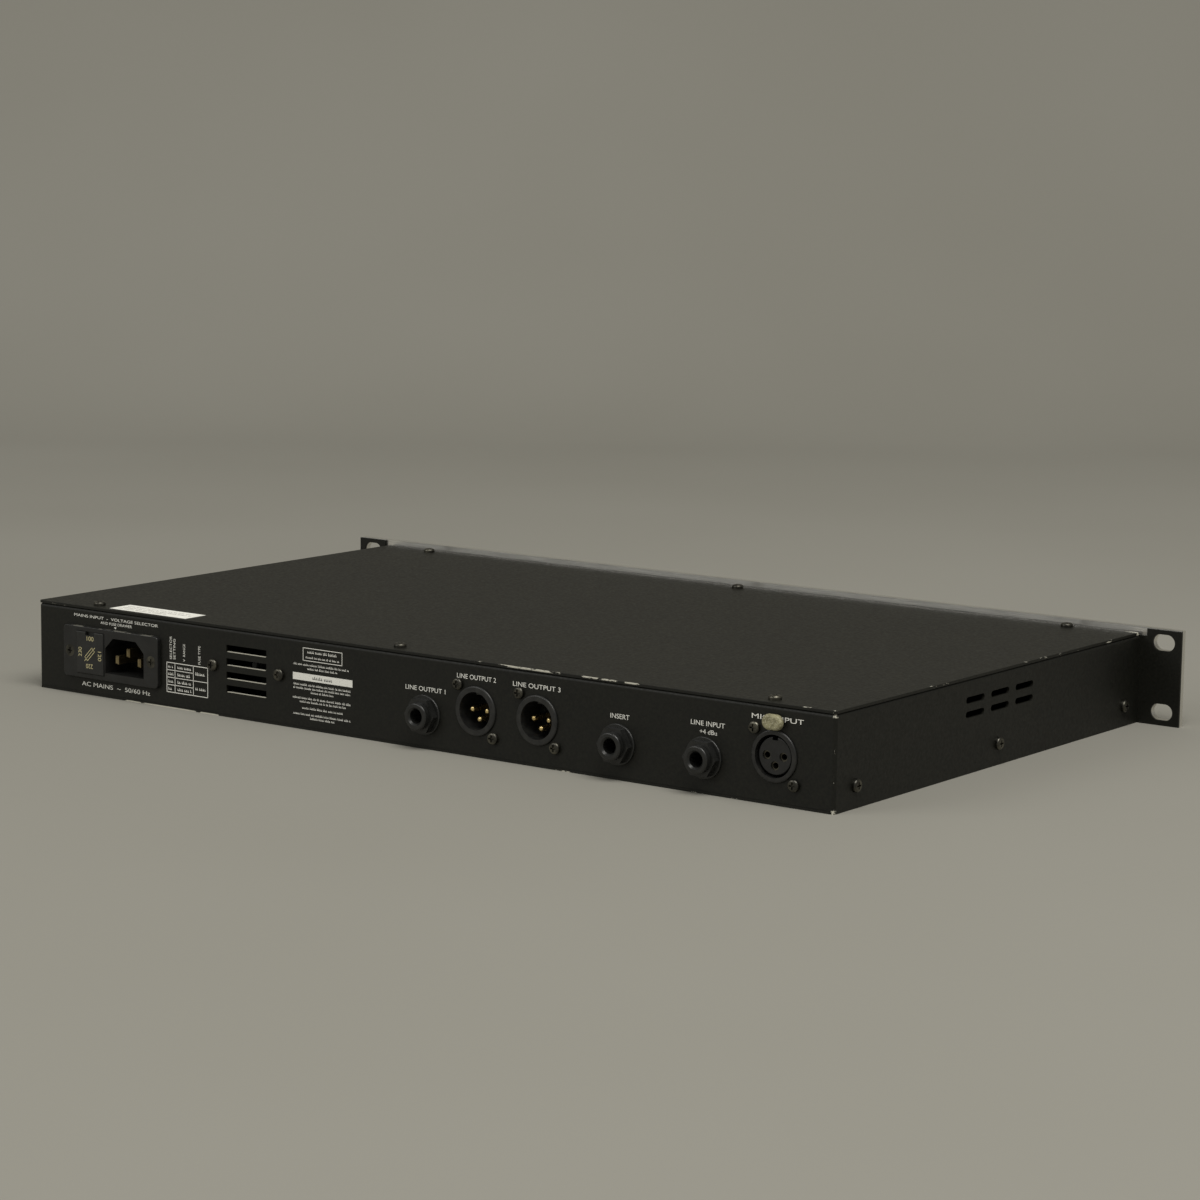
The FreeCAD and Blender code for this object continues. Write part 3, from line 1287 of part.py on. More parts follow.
def button(x):
    """Push-button cap with its stem into the switch."""
    front = PANEL_FRONT - BUTTON_PROUD
    cap = block(span(x, BUTTON_WIDTH), (front, button_rear()), span(KNOB_Z, BUTTON_HEIGHT))
    cap = rounded(cap, BUTTON_ROUND, lambda e: runs_along(e, REAR) or near(e.CenterOfMass.y, front))
    reach = CONTROL_FRONT - SHEET - BUTTON_TRAVEL - LATCH_GAP
    stem = block(span(x, BUTTON_STEM), (button_rear() - 1, reach), span(KNOB_Z, BUTTON_STEM))
    return cap.fuse(stem).removeSplitter()


def button_switches():
    """Switch bodies on the control board, each open for its cap's stem."""
    front = button_rear() + BUTTON_TRAVEL + LATCH_GAP
    parts = []
    for x in BUTTON_X:
        body = block(span(x, SWITCH_WIDTH), (front, CONTROL_FRONT), span(KNOB_Z, SWITCH_HEIGHT))
        hole = BUTTON_STEM + 2 * BUTTON_GAP
        bore = block(span(x, hole), (front - 1, CONTROL_FRONT - SHEET), span(KNOB_Z, hole))
        parts.append(body.cut(bore))
    return parts


def indicators():
    """Domed light-emitting diodes above the buttons."""
    parts = []
    for x in BUTTON_X:
        front = PANEL_FRONT - INDICATOR_PROUD
        lamp = rod_y(INDICATOR_RADIUS, x, KNOB_Z + INDICATOR_RISE, (front, CONTROL_FRONT))
        dome = INDICATOR_RADIUS * INDICATOR_DOME
        parts.append(rounded(lamp, dome, lambda e: near(e.CenterOfMass.y, front)))
    return parts


def meter_segments():
    """Two rows of level-meter lamps behind the window."""
    parts = []
    for column in range(METER_COLUMNS):
        x = WINDOW_X + (column - (METER_COLUMNS - 1) / 2) * METER_PITCH_X
        for row in range(METER_ROWS):
            z = KNOB_Z + (row - (METER_ROWS - 1) / 2) * METER_PITCH_Z
            wide = METER_PITCH_X - METER_GAP_X
            high = METER_PITCH_Z - METER_GAP_Z
            parts.append(block(span(x, wide), (PANEL_BACK, CONTROL_FRONT), span(z, high)))
    return parts


def display_window():
    y = (PANEL_FRONT, PANEL_FRONT + WINDOW_THICKNESS)
    return block(span(WINDOW_X, WINDOW_WIDTH), y, span(KNOB_Z, WINDOW_HEIGHT))


def control_board():
    """Upright board that carries the controls."""
    z = span(KNOB_Z - CONTROL_DROP, CONTROL_HEIGHT)
    return block((CONTROL_LEFT, CONTROL_RIGHT), (CONTROL_FRONT, CONTROL_BACK), z)


def rocker_pivot():
    """Y of the rocker's axis."""
    return PANEL_FRONT + ROCKER_PIVOT


def rocker_radius():
    return ROCKER_HEIGHT / 2 - ROCKER_GAP


def power_switch():
    """Frame of the rocker switch, with its body and terminals behind the panel."""
    wide = ROCKER_WIDTH + 2 * ROCKER_WALL
    high = ROCKER_HEIGHT + 2 * ROCKER_WALL
    flange = block(
        span(ROCKER_X, wide + 2 * ROCKER_FLANGE),
        (PANEL_FRONT - SHEET, PANEL_FRONT),
        span(KNOB_Z, high + 2 * ROCKER_FLANGE),
    )
    flange = rounded(flange, ROCKER_CORNER, lambda e: runs_along(e, REAR))
    body = block(span(ROCKER_X, wide), (PANEL_FRONT, ROCKER_DEPTH), span(KNOB_Z, high))
    floor = rocker_pivot() + rocker_radius() + ROCKER_GAP
    depth = (PANEL_FRONT - OVERSHOOT, floor)
    cavity = block(span(ROCKER_X, ROCKER_WIDTH), depth, span(KNOB_Z, ROCKER_HEIGHT))
    return flange.fuse(body).cut(cavity).removeSplitter()


def power_rocker():
    """Rocker in its off position: a drum with a shallow V across its front."""
    y = rocker_pivot()
    radius = rocker_radius()
    half = ROCKER_WIDTH / 2 - ROCKER_GAP
    drum = rod(radius, at(ROCKER_X - half, y, KNOB_Z), EAST, 2 * half)
    outline = [
        (-ROCKER_RIM, -1),
        (-ROCKER_DIP, 0),
        (-ROCKER_RIM, 1),
        (ROCKER_BACK, 1),
        (ROCKER_BACK, -1),
    ]
    corners = [at(ROCKER_X - half, y + radius * py, KNOB_Z + radius * pz) for py, pz in outline]
    wedge = Part.Face(Part.makePolygon(corners + corners[:1])).extrude(EAST * 2 * half)
    shape = drum.common(wedge)
    shape.rotate(at(ROCKER_X, y, KNOB_Z), EAST, -ROCKER_ANGLE)
    return shape


def paper_label():
    """Small paper label stuck on the cover near its rear edge."""
    rear = CASE_DEPTH - LABEL_EDGE
    return block(
        span(LABEL_X, LABEL_WIDTH), (rear - LABEL_DEPTH, rear), (COVER_TOP, COVER_TOP + LABEL_THICKNESS)
    )


# ---- write every sub-part -------------------------------------------------------------------
save("chassis_wrap", chassis_wrap())
save("base_tray", base_tray())
save("top_cover", top_cover())
save("front_subpanel", front_subpanel())
save("fascia", fascia())
save("case_screws", *case_screws())
save("clinch_nuts", *clinch_nuts())
save("mains_inlet", mains_inlet())
save("inlet_blades", *inlet_blades())
save("inlet_screws", *inlet_screws())
save("fuse_drawer", fuse_drawer())
save("fuse", fuse())
for number, x in enumerate(XLR_OUT_X, 1):
    save("xlr_out_%d_shell" % number, xlr_out_shell(x))
save("xlr_pins", *xlr_pins())
save("xlr_mic_shell", xlr_mic_shell())
save("xlr_mic_insert", xlr_insert())
save("xlr_mic_contacts", *xlr_contacts())
save("xlr_latch", xlr_latch())
save("xlr_screws", *xlr_screws())
for number, x in enumerate(JACK_X, 1):
    save("jack_socket_%d" % number, jack_socket(x))
save("jack_washers", *jack_washers())
save("jack_nuts", *jack_nuts())
save("main_board", main_board())
save("standoffs", *standoffs())
save("board_screws", *board_screws())
save("heat_sink_bracket", heat_sink_bracket())
save("regulators", *regulators())
save("capacitors", *capacitors())
save("chips", *chips())
save("headers", *headers())
save("ribbon_cable", ribbon_cable())
save("transformer_winding", transformer_winding())
save("transformer_pads", *transformer_pads())
save("transformer_washer", transformer_washer())
save("transformer_bolt", transformer_bolt())
save("mains_wires", *mains_wires())
save("pots", *pots())
save("pot_nuts", *pot_nuts())
for number, x in enumerate(KNOB_X, 1):
    save("knob_%d" % number, knob(x))
    save("pot_shaft_%d" % number, pot_shaft(x))
for number, x in enumerate(BUTTON_X, 1):
    save("button_%d" % number, button(x))
save("button_switches", *button_switches())
save("indicators", *indicators())
save("meter_segments", *meter_segments())
save("display_window", display_window())
save("control_board", control_board())
save("power_switch", power_switch())
save("power_rocker", power_rocker())
save("paper_label", paper_label())
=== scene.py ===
import math
import random

import bmesh
import bpy
from mathutils import Matrix, Vector


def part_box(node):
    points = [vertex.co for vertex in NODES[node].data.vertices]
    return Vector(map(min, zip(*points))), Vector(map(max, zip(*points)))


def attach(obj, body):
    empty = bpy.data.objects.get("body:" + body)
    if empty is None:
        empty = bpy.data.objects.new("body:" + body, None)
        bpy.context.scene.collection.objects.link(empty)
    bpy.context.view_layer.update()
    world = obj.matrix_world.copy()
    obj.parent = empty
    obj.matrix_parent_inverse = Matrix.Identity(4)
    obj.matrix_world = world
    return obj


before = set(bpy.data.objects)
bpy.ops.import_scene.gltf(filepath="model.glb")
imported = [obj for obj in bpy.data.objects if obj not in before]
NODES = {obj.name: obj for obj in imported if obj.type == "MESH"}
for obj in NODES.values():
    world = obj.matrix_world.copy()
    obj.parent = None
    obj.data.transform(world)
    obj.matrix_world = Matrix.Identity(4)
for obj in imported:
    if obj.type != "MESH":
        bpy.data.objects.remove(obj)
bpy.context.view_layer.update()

MM = 0.001

# ---- places taken from the frame -----------------------------------------------------------
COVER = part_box("top_cover")
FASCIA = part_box("fascia")
REAR_Y = COVER[1].y
COVER_Z = COVER[1].z
FLOOR_Z = FASCIA[0].z
PANEL_Y = FASCIA[0].y
# the outer face of the side wall stands this far outside the tray, in millimetres
WALL_OUTSIDE_TRAY = 1.3
CASE_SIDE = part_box("base_tray")[1].x + WALL_OUTSIDE_TRAY * MM


# ---- wear and a painted highlight, in millimetres -------------------------------------------
# each place of flecks is its box, its soft ends, the noise level that a fleck starts at and its stretch
TOP, LOW, REAR, SIDE = COVER_Z / MM, FLOOR_Z / MM, REAR_Y / MM, CASE_SIDE / MM
ALONG_X, ALONG_Y, ALONG_Z = (0.35, 1.0, 1.0), (1.0, 0.35, 1.0), (1.0, 1.0, 0.4)
OUTER = -SIDE - 1
VENT_ROWS = 4
VENT_PITCH = 6.1
VENT_MIDDLE_Z = 0.3
VENT_HALF_HEIGHT = 1.5
VENT_WORN_X = (78.6, 101.6)
VENT_EDGES = [
    VENT_MIDDLE_Z + (row - (VENT_ROWS - 1) / 2) * VENT_PITCH - VENT_HALF_HEIGHT for row in range(VENT_ROWS)
]
INLET_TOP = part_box("mains_inlet")[1].z / MM
# pale flecks along the inlet flange's top edge: a painted highlight, with dust
INLET_DUST_AND_HIGHLIGHT = [
    (((145, 201), (REAR, REAR + 3), (INLET_TOP - 0.25, INLET_TOP + 1)), (2, 0.1, 0.1), 0.50, ALONG_X),
]
WORN_PLACES = [
    (((-132, -94), (REAR - 0.3, REAR + 1), (TOP - 0.7, TOP + 1)), (3, 0.1, 0.1), 0.52, ALONG_X),
    (((-88, -50), (REAR - 0.35, REAR + 1), (TOP - 0.8, TOP + 1)), (3, 0.1, 0.1), 0.50, ALONG_X),
    (((-46, -32), (REAR - 0.3, REAR + 1), (TOP - 0.7, TOP + 1)), (2, 0.1, 0.1), 0.50, ALONG_X),
    (((196, 216), (REAR - 1, REAR + 1), (TOP - 1.1, TOP + 1)), (2, 0.1, 0.1), 0.58, ALONG_X),
    (((-215, -196), (REAR - 1, REAR + 1), (TOP - 1.1, TOP + 1)), (2, 0.1, 0.1), 0.58, ALONG_X),
    (((OUTER, -SIDE + 1.6), (REAR - 1.6, REAR + 1), (TOP - 3.2, TOP + 1)), (0.1, 0.1, 0.4), 0.53, ALONG_Z),
    (((OUTER, -SIDE + 1.6), (REAR - 1.6, REAR + 1), (LOW - 1, LOW + 1.8)), (0.1, 0.1, 0.4), 0.50, ALONG_Z),
    (((OUTER, -SIDE + 0.8), (REAR - 0.8, REAR + 1), (LOW + 1, TOP - 2)), (0.1, 0.1, 0.4), 0.60, ALONG_Z),
    (((OUTER, -SIDE + 0.9), (20, 200), (TOP - 1.1, TOP + 1)), (0.1, 8, 0.1), 0.62, ALONG_Y),
    (((OUTER, -SIDE + 7), (0, 4), (TOP - 1.4, TOP + 1)), (0.3, 1, 0.1), 0.52, ALONG_X),
    (((104, 168), (REAR - 0.9, REAR + 1), (LOW - 1, LOW + 0.55)), (5, 0.1, 0.1), 0.38, ALONG_X),
    (((-190, -60), (REAR - 0.8, REAR + 1), (LOW - 1, LOW + 0.5)), (8, 0.1, 0.1), 0.60, ALONG_X),
] + [
    ((VENT_WORN_X, (REAR - 1.4, REAR + 1), (z - 0.2, z + 0.1)), (0.4, 0.05, 0.05), 0.2, ALONG_X)
    for z in VENT_EDGES
]


# ---- camera, floor and light ---------------------------------------------------------------
# where the photo was taken from, in degrees and metres; the lens and its sensor in millimetres
VIEW_AZIMUTH = 216.24
VIEW_ELEVATION = 8.64
VIEW_ROLL = 0.745
VIEW_PLACE = Vector((-0.9076, 1.3509, 0.2583))
VIEW_LENS = 100.45
SENSOR_WIDTH = 36.0
FARTHEST_SEEN = 50.0
# each lamp: name, place, what it points at, its two sides, watts, colour
LAMPS = (
    ("key", (-1.2, 0.9, 2.6), (0.0, 0.15, 0.0), (2.2, 1.6), 62.0, (1.0, 0.985, 0.94)),
    ("fill", (1.6, 2.6, 1.6), (0.0, 0.2, 0.0), (1.8, 1.4), 22.0, (1.0, 1.0, 0.97)),
)
SURROUND_COLOUR = (0.80, 0.79, 0.74, 1.0)
SURROUND_STRENGTH = 0.35


def make_camera():
    """Long lens behind the unit's left rear corner, a little above the cover."""
    azimuth, elevation = math.radians(VIEW_AZIMUTH), math.radians(VIEW_ELEVATION)
    back = Vector((
        math.sin(azimuth) * math.cos(elevation),
        -math.cos(azimuth) * math.cos(elevation),
        math.sin(elevation),
    ))
    data = bpy.data.cameras.new("camera")
    data.lens = VIEW_LENS
    data.sensor_width = SENSOR_WIDTH
    data.clip_end = FARTHEST_SEEN
    camera = bpy.data.objects.new("camera", data)
    bpy.context.scene.collection.objects.link(camera)
    roll = Matrix.Rotation(math.radians(VIEW_ROLL), 4, back)
    aim = (-back).to_track_quat("-Z", "Y").to_matrix().to_4x4()
    camera.matrix_world = Matrix.Translation(VIEW_PLACE) @ roll @ aim
    bpy.context.scene.camera = camera


def area_light(name, place, aim, size, power, colour):
    """A rectangular lamp turned towards a point."""
    data = bpy.data.lights.new(name, "AREA")
    data.shape = "RECTANGLE"
    data.size, data.size_y = size
    data.energy = power
    data.color = colour
    light = bpy.data.objects.new(name, data)
    light.location = place
    light.rotation_euler = (Vector(aim) - Vector(place)).to_track_quat("-Z", "Y").to_euler()
    bpy.context.scene.collection.objects.link(light)


def make_light():
    """Two large soft lamps above and behind the unit, over a dim even surround."""
    for lamp in LAMPS:
        area_light(*lamp)
    world = bpy.data.worlds.new("surround")
    world.use_nodes = True
    background = world.node_tree.nodes["Background"]
    background.inputs["Color"].default_value = SURROUND_COLOUR
    background.inputs["Strength"].default_value = SURROUND_STRENGTH
    bpy.context.scene.world = world
    bpy.context.scene.view_settings.view_transform = "Standard"


# ---- node building --------------------------------------------------------------------------
NOISE_LOW = 0.3
NOISE_HIGH = 0.7
FLECK_SCALE = 330.0
FLECK_EDGE = 0.02
class Paint:
    """A material under construction: a Principled shader and helpers that add nodes to it."""

    def __init__(self, name, colour, roughness, metallic=0.0, **sockets):
        self.material = bpy.data.materials.new(name)
        self.material.use_nodes = True
        self.tree = self.material.node_tree
        self.shader = self.tree.nodes["Principled BSDF"]
        self.shader.inputs["Base Color"].default_value = (*colour, 1.0)
        self.shader.inputs["Roughness"].default_value = roughness
        self.shader.inputs["Metallic"].default_value = metallic
        for socket, value in sockets.items():
            self.shader.inputs[socket.replace("_", " ")].default_value = value
        self.place = self.tree.nodes.new("ShaderNodeTexCoord").outputs["Object"]

    def add(self, kind, **settings):
        """A new shader node of a kind, with its settings."""
        node = self.tree.nodes.new("ShaderNode" + kind)
        for key, value in settings.items():
            setattr(node, key, value)
        return node

    def link(self, output, target):
        self.tree.links.new(output, target)

    def scaled(self, factors):
        """The object's own coordinates, each drawn out by a factor."""
        node = self.add("Mapping")
        node.inputs["Scale"].default_value = factors
        self.link(self.place, node.inputs["Vector"])
        return node.outputs["Vector"]

    def noise(self, scale, detail=3.0, rough=0.55, stretch=(1.0, 1.0, 1.0)):
        """Noise value over the object's own coordinates; scale is in cycles per metre."""
        node = self.add("TexNoise")
        node.inputs["Scale"].default_value = scale
        node.inputs["Detail"].default_value = detail
        node.inputs["Roughness"].default_value = rough
        self.link(self.scaled(stretch), node.inputs["Vector"])
        return node.outputs["Fac"]

    def cells(self, scale):
        """Distance to the nearest of a cloud of random points."""
        node = self.add("TexVoronoi")
        node.inputs["Scale"].default_value = scale
        self.link(self.place, node.inputs["Vector"])
        return node.outputs["Distance"]

    def math(self, operation, first, second):
        """Result of a sum on two inputs, each a number or another node's output."""
        node = self.add("Math", operation=operation)
        for socket, value in zip(node.inputs, (first, second)):
            if isinstance(value, (int, float)):
                socket.default_value = value
            else:
                self.link(value, socket)
        return node.outputs["Value"]

    def ramp(self, value, low, high, start=0.0, end=1.0):
        """Value from start to end while the input goes from low to high."""
        node = self.add("MapRange")
        node.inputs["From Min"].default_value = low
        node.inputs["From Max"].default_value = high
        node.inputs["To Min"].default_value = start
        node.inputs["To Max"].default_value = end
        self.link(value, node.inputs["Value"])
        return node.outputs["Result"]

    def axis(self, name):
        """One of the object's own coordinates, in metres."""
        node = self.add("SeparateXYZ")
        self.link(self.place, node.inputs["Vector"])
        return node.outputs[name]

    def within(self, name, low, high, soft):
        """1 between two places along an axis, with soft ends."""
        rise = self.ramp(self.axis(name), low - soft, low + soft)
        fall = self.ramp(self.axis(name), high - soft, high + soft, 1.0, 0.0)
        return self.math("MULTIPLY", rise, fall)

    def inside(self, box, soft):
        """1 inside a box of (low, high) places along x, y and z, in millimetres, with soft ends."""
        here = None
        for name, (low, high), edge in zip("XYZ", box, soft):
            along = self.within(name, low * MM, high * MM, edge * MM)
            here = along if here is None else self.math("MULTIPLY", here, along)
        return here

    def wear_and_highlight_flecks(self, base, places, fleck_colour):
        """The base colour with a second one showing in flecks inside each place: bare metal where paint is
        worn, and a painted highlight with dust on the inlet's edge.
        """
        for box, soft, level, stretch in places:
            flecks = self.noise(FLECK_SCALE, 5.0, 0.72, stretch)
            here = self.math("MULTIPLY", self.inside(box, soft), flecks)
            base = self.mix(self.ramp(here, level, level + FLECK_EDGE), base, fleck_colour)
        return base

    def mix(self, factor, first, second):
        """Colour between two, by a factor; each may be a colour or another mix."""
        node = self.add("Mix", data_type="RGBA")
        self.link(factor, node.inputs["Factor"])
        for socket, value in ((node.inputs[6], first), (node.inputs[7], second)):
            if isinstance(value, tuple):
                socket.default_value = (*value, 1.0)
            else:
                self.link(value, socket)
        return node.outputs[2]

    def colour(self, output):
        """Takes the surface colour from a node."""
        self.link(output, self.shader.inputs["Base Color"])

    def roughness(self, output):
        """Takes the roughness from a node."""
        self.link(output, self.shader.inputs["Roughness"])

    def uneven_gloss(self, scale, smooth, rough):
        """Roughness that wanders between two values."""
        self.roughness(self.ramp(self.noise(scale), NOISE_LOW, NOISE_HIGH, smooth, rough))

    def bump(self, height, strength, distance):
        """Small relief from a height, over a distance in metres."""
        node = self.add("Bump")
        node.inputs["Strength"].default_value = strength
        node.inputs["Distance"].default_value = distance
        self.link(height, node.inputs["Height"])
        self.link(node.outputs["Normal"], self.shader.inputs["Normal"])


MOULD_GRAIN = 1800.0
MOULD_DEPTH = 0.03
# pale grey flecks on moulded parts: a painted highlight, with dust, on the inlet's flange edge
DUST_AND_HIGHLIGHT = (0.13, 0.125, 0.105)
PLATED_GRAIN = 900.0


def moulded(name, colour, roughness, places=(), **sockets):
    """Moulded plastic: fine spark-eroded grain, slight random changes of gloss and tone, and pale flecks in
    given places: a painted highlight with dust.
    """
    paint = Paint(name, colour, roughness, **sockets)
    shade = tuple(min(1.0, value * 1.35 + 0.004) for value in colour)
    base = paint.mix(paint.ramp(paint.noise(160.0), 0.35, 0.75), colour, shade)
    paint.colour(paint.wear_and_highlight_flecks(base, places, DUST_AND_HIGHLIGHT))
    paint.uneven_gloss(420.0, roughness - 0.07, roughness + 0.09)
    paint.bump(paint.noise(MOULD_GRAIN, 2.0), MOULD_DEPTH, 0.0001)
    return paint.material


def plated(name, colour, roughness, dull):
    """Plated metal with faint blotches."""
    paint = Paint(name, colour, roughness, metallic=1.0)
    spots = paint.ramp(paint.noise(240.0, 5.0), 0.42, 0.72)
    paint.colour(paint.mix(spots, colour, dull))
    paint.uneven_gloss(PLATED_GRAIN, roughness - 0.06, roughness + 0.12)
    paint.bump(paint.noise(PLATED_GRAIN * 2, 3.0), 0.05, 0.0001)
    return paint.material


# ---- finishes -------------------------------------------------------------------------------
BARE_ZINC = (0.56, 0.54, 0.46)


def black_paint(name):
    """Satin black powder paint over zinc-plated sheet, worn through at its edges."""
    paint = Paint(name, (0.0055, 0.0056, 0.004), 0.5, Specular_IOR_Level=0.3)
    cloud = paint.ramp(paint.noise(18.0, 4.0), 0.3, 0.75)
    fine = paint.ramp(paint.noise(900.0, 3.0), 0.35, 0.7)
    base = paint.mix(cloud, (0.0042, 0.0044, 0.0032), (0.0075, 0.0075, 0.0052))
    base = paint.mix(fine, base, (0.0105, 0.0104, 0.0072))
    paint.colour(paint.wear_and_highlight_flecks(base, WORN_PLACES, BARE_ZINC))
    paint.uneven_gloss(700.0, 0.42, 0.58)
    grain = paint.math("ADD", paint.noise(1400.0, 3.0), paint.math("MULTIPLY", paint.noise(300.0, 2.0), 0.6))
    paint.bump(grain, 0.16, 0.0002)
    return paint.material


def brushed(name, colour, axis):
    """Brushed aluminium, its grain along one axis."""
    stretch = tuple(0.02 if index == axis else 1.0 for index in range(3))
    paint = Paint(name, colour, 0.34, metallic=1.0)
    lines = paint.noise(2600.0, 4.0, 0.7, stretch)
    shade = tuple(value * 0.8 for value in colour)
    paint.colour(paint.mix(paint.ramp(lines, NOISE_LOW, NOISE_HIGH), shade, colour))
    paint.roughness(paint.ramp(lines, NOISE_LOW, NOISE_HIGH, 0.28, 0.44))
    paint.bump(lines, 0.12, 0.0001)
    return paint.material


def circuit_board(name):
    """Green solder mask: winding paler tracks and pale dots."""
    paint = Paint(name, (0.012, 0.085, 0.03), 0.32, Coat_Weight=0.4)
    waves = paint.math("SINE", paint.math("MULTIPLY", paint.noise(55.0, 2.0, 0.4), 90.0), 0.0)
    tracks = paint.ramp(waves, 0.55, 0.7)
    pads = paint.ramp(paint.cells(230.0), 0.16, 0.2, 1.0, 0.0)
    green = paint.mix(tracks, (0.01, 0.07, 0.026), (0.022, 0.14, 0.05))
    paint.colour(paint.mix(pads, green, (0.55, 0.55, 0.5)))
    paint.bump(tracks, 0.2, 0.0001)
    return paint.material


def winding(name):
    """Yellow polyester tape, uneven in shade and height as wound turns are."""
    paint = Paint(name, (0.62, 0.46, 0.1), 0.3, Coat_Weight=0.5)
    turns = paint.noise(70.0, 3.0)
    paint.colour(paint.mix(paint.ramp(turns, 0.35, 0.65), (0.5, 0.34, 0.06), (0.72, 0.55, 0.14)))
    paint.bump(turns, 0.35, 0.0008)
    return paint.material


def aged_plastic(name):
    """Once clear plastic, gone olive yellow and speckled with dirt."""
    paint = Paint(name, (0.27, 0.25, 0.14), 0.5)
    blotch = paint.ramp(paint.noise(520.0, 5.0, 0.7), 0.42, 0.6)
    dirt = paint.ramp(paint.noise(1500.0, 4.0, 0.7), 0.5, 0.62)
    base = paint.mix(blotch, (0.31, 0.29, 0.165), (0.17, 0.155, 0.085))
    paint.colour(paint.mix(dirt, base, (0.46, 0.43, 0.30)))
    paint.uneven_gloss(800.0, 0.42, 0.66)
    paint.bump(paint.noise(1300.0, 3.0), 0.2, 0.0002)
    return paint.material


def lens(name, colour, glow):
    """Tinted clear plastic with the lamp behind it off."""
    paint = Paint(name, colour, 0.18, Transmission_Weight=0.25, Coat_Weight=0.6)
    shade = tuple(value * glow for value in colour)
    paint.colour(paint.mix(paint.ramp(paint.noise(600.0), NOISE_LOW, NOISE_HIGH), colour, shade))
    return paint.material


def clear_tube(name):
    """The fuse: glossy and pale grey all over, glass and caps alike."""
    paint = Paint(name, (0.75, 0.76, 0.74), 0.12)
    cloud = paint.ramp(paint.noise(400.0), NOISE_LOW, NOISE_HIGH)
    paint.colour(paint.mix(cloud, (0.6, 0.62, 0.6), (0.8, 0.8, 0.78)))
    return paint.material


def paper(name):
    """Matt white label stock, a little soiled."""
    paint = Paint(name, (0.93, 0.92, 0.86), 0.85)
    soil = paint.ramp(paint.noise(150.0, 5.0), 0.45, 0.8)
    paint.colour(paint.mix(soil, (0.95, 0.94, 0.88), (0.78, 0.76, 0.68)))
    paint.bump(paint.noise(2500.0, 2.0), 0.1, 0.0001)
    return paint.material


def wires(name):
    """Insulated wires: blue low in the case, brown above."""
    paint = Paint(name, (0.12, 0.045, 0.02), 0.42)
    band = paint.ramp(paint.axis("Z"), -8.0 * MM, -7.0 * MM)
    paint.colour(paint.mix(band, (0.02, 0.07, 0.2), (0.16, 0.06, 0.02)))
    paint.bump(paint.noise(900.0), 0.1, 0.0001)
    return paint.material


CORE_PITCH = 1.27


def ribbon(name):
    """Flat grey cable with ridges for its parallel cores, coloured darker in the grooves and paler on the
    crests: painted shade and painted highlight.
    """
    paint = Paint(name, (0.3, 0.3, 0.31), 0.5)
    turns = paint.math("MULTIPLY", paint.axis("X"), 2 * math.pi / (CORE_PITCH * MM))
    cores = paint.math("SINE", turns, 0.0)
    # colour follows the ridges: painted shade in the grooves, painted highlight on the crests
    paint.colour(paint.mix(paint.ramp(cores, -1.0, 1.0), (0.22, 0.22, 0.23), (0.36, 0.36, 0.37)))
    paint.bump(cores, 0.5, 0.0003)
    return paint.material


def plated_black(name):
    """Black-plated zinc die-casting, mottled and a little shiny."""
    paint = Paint(name, (0.012, 0.012, 0.011), 0.36, Specular_IOR_Level=0.5)
    cloud = paint.ramp(paint.noise(300.0, 4.0), 0.4, 0.7)
    paint.colour(paint.mix(cloud, (0.010, 0.010, 0.010), (0.022, 0.022, 0.02)))
    paint.uneven_gloss(700.0, 0.3, 0.46)
    paint.bump(paint.noise(1200.0, 3.0), 0.08, 0.0001)
    return paint.material


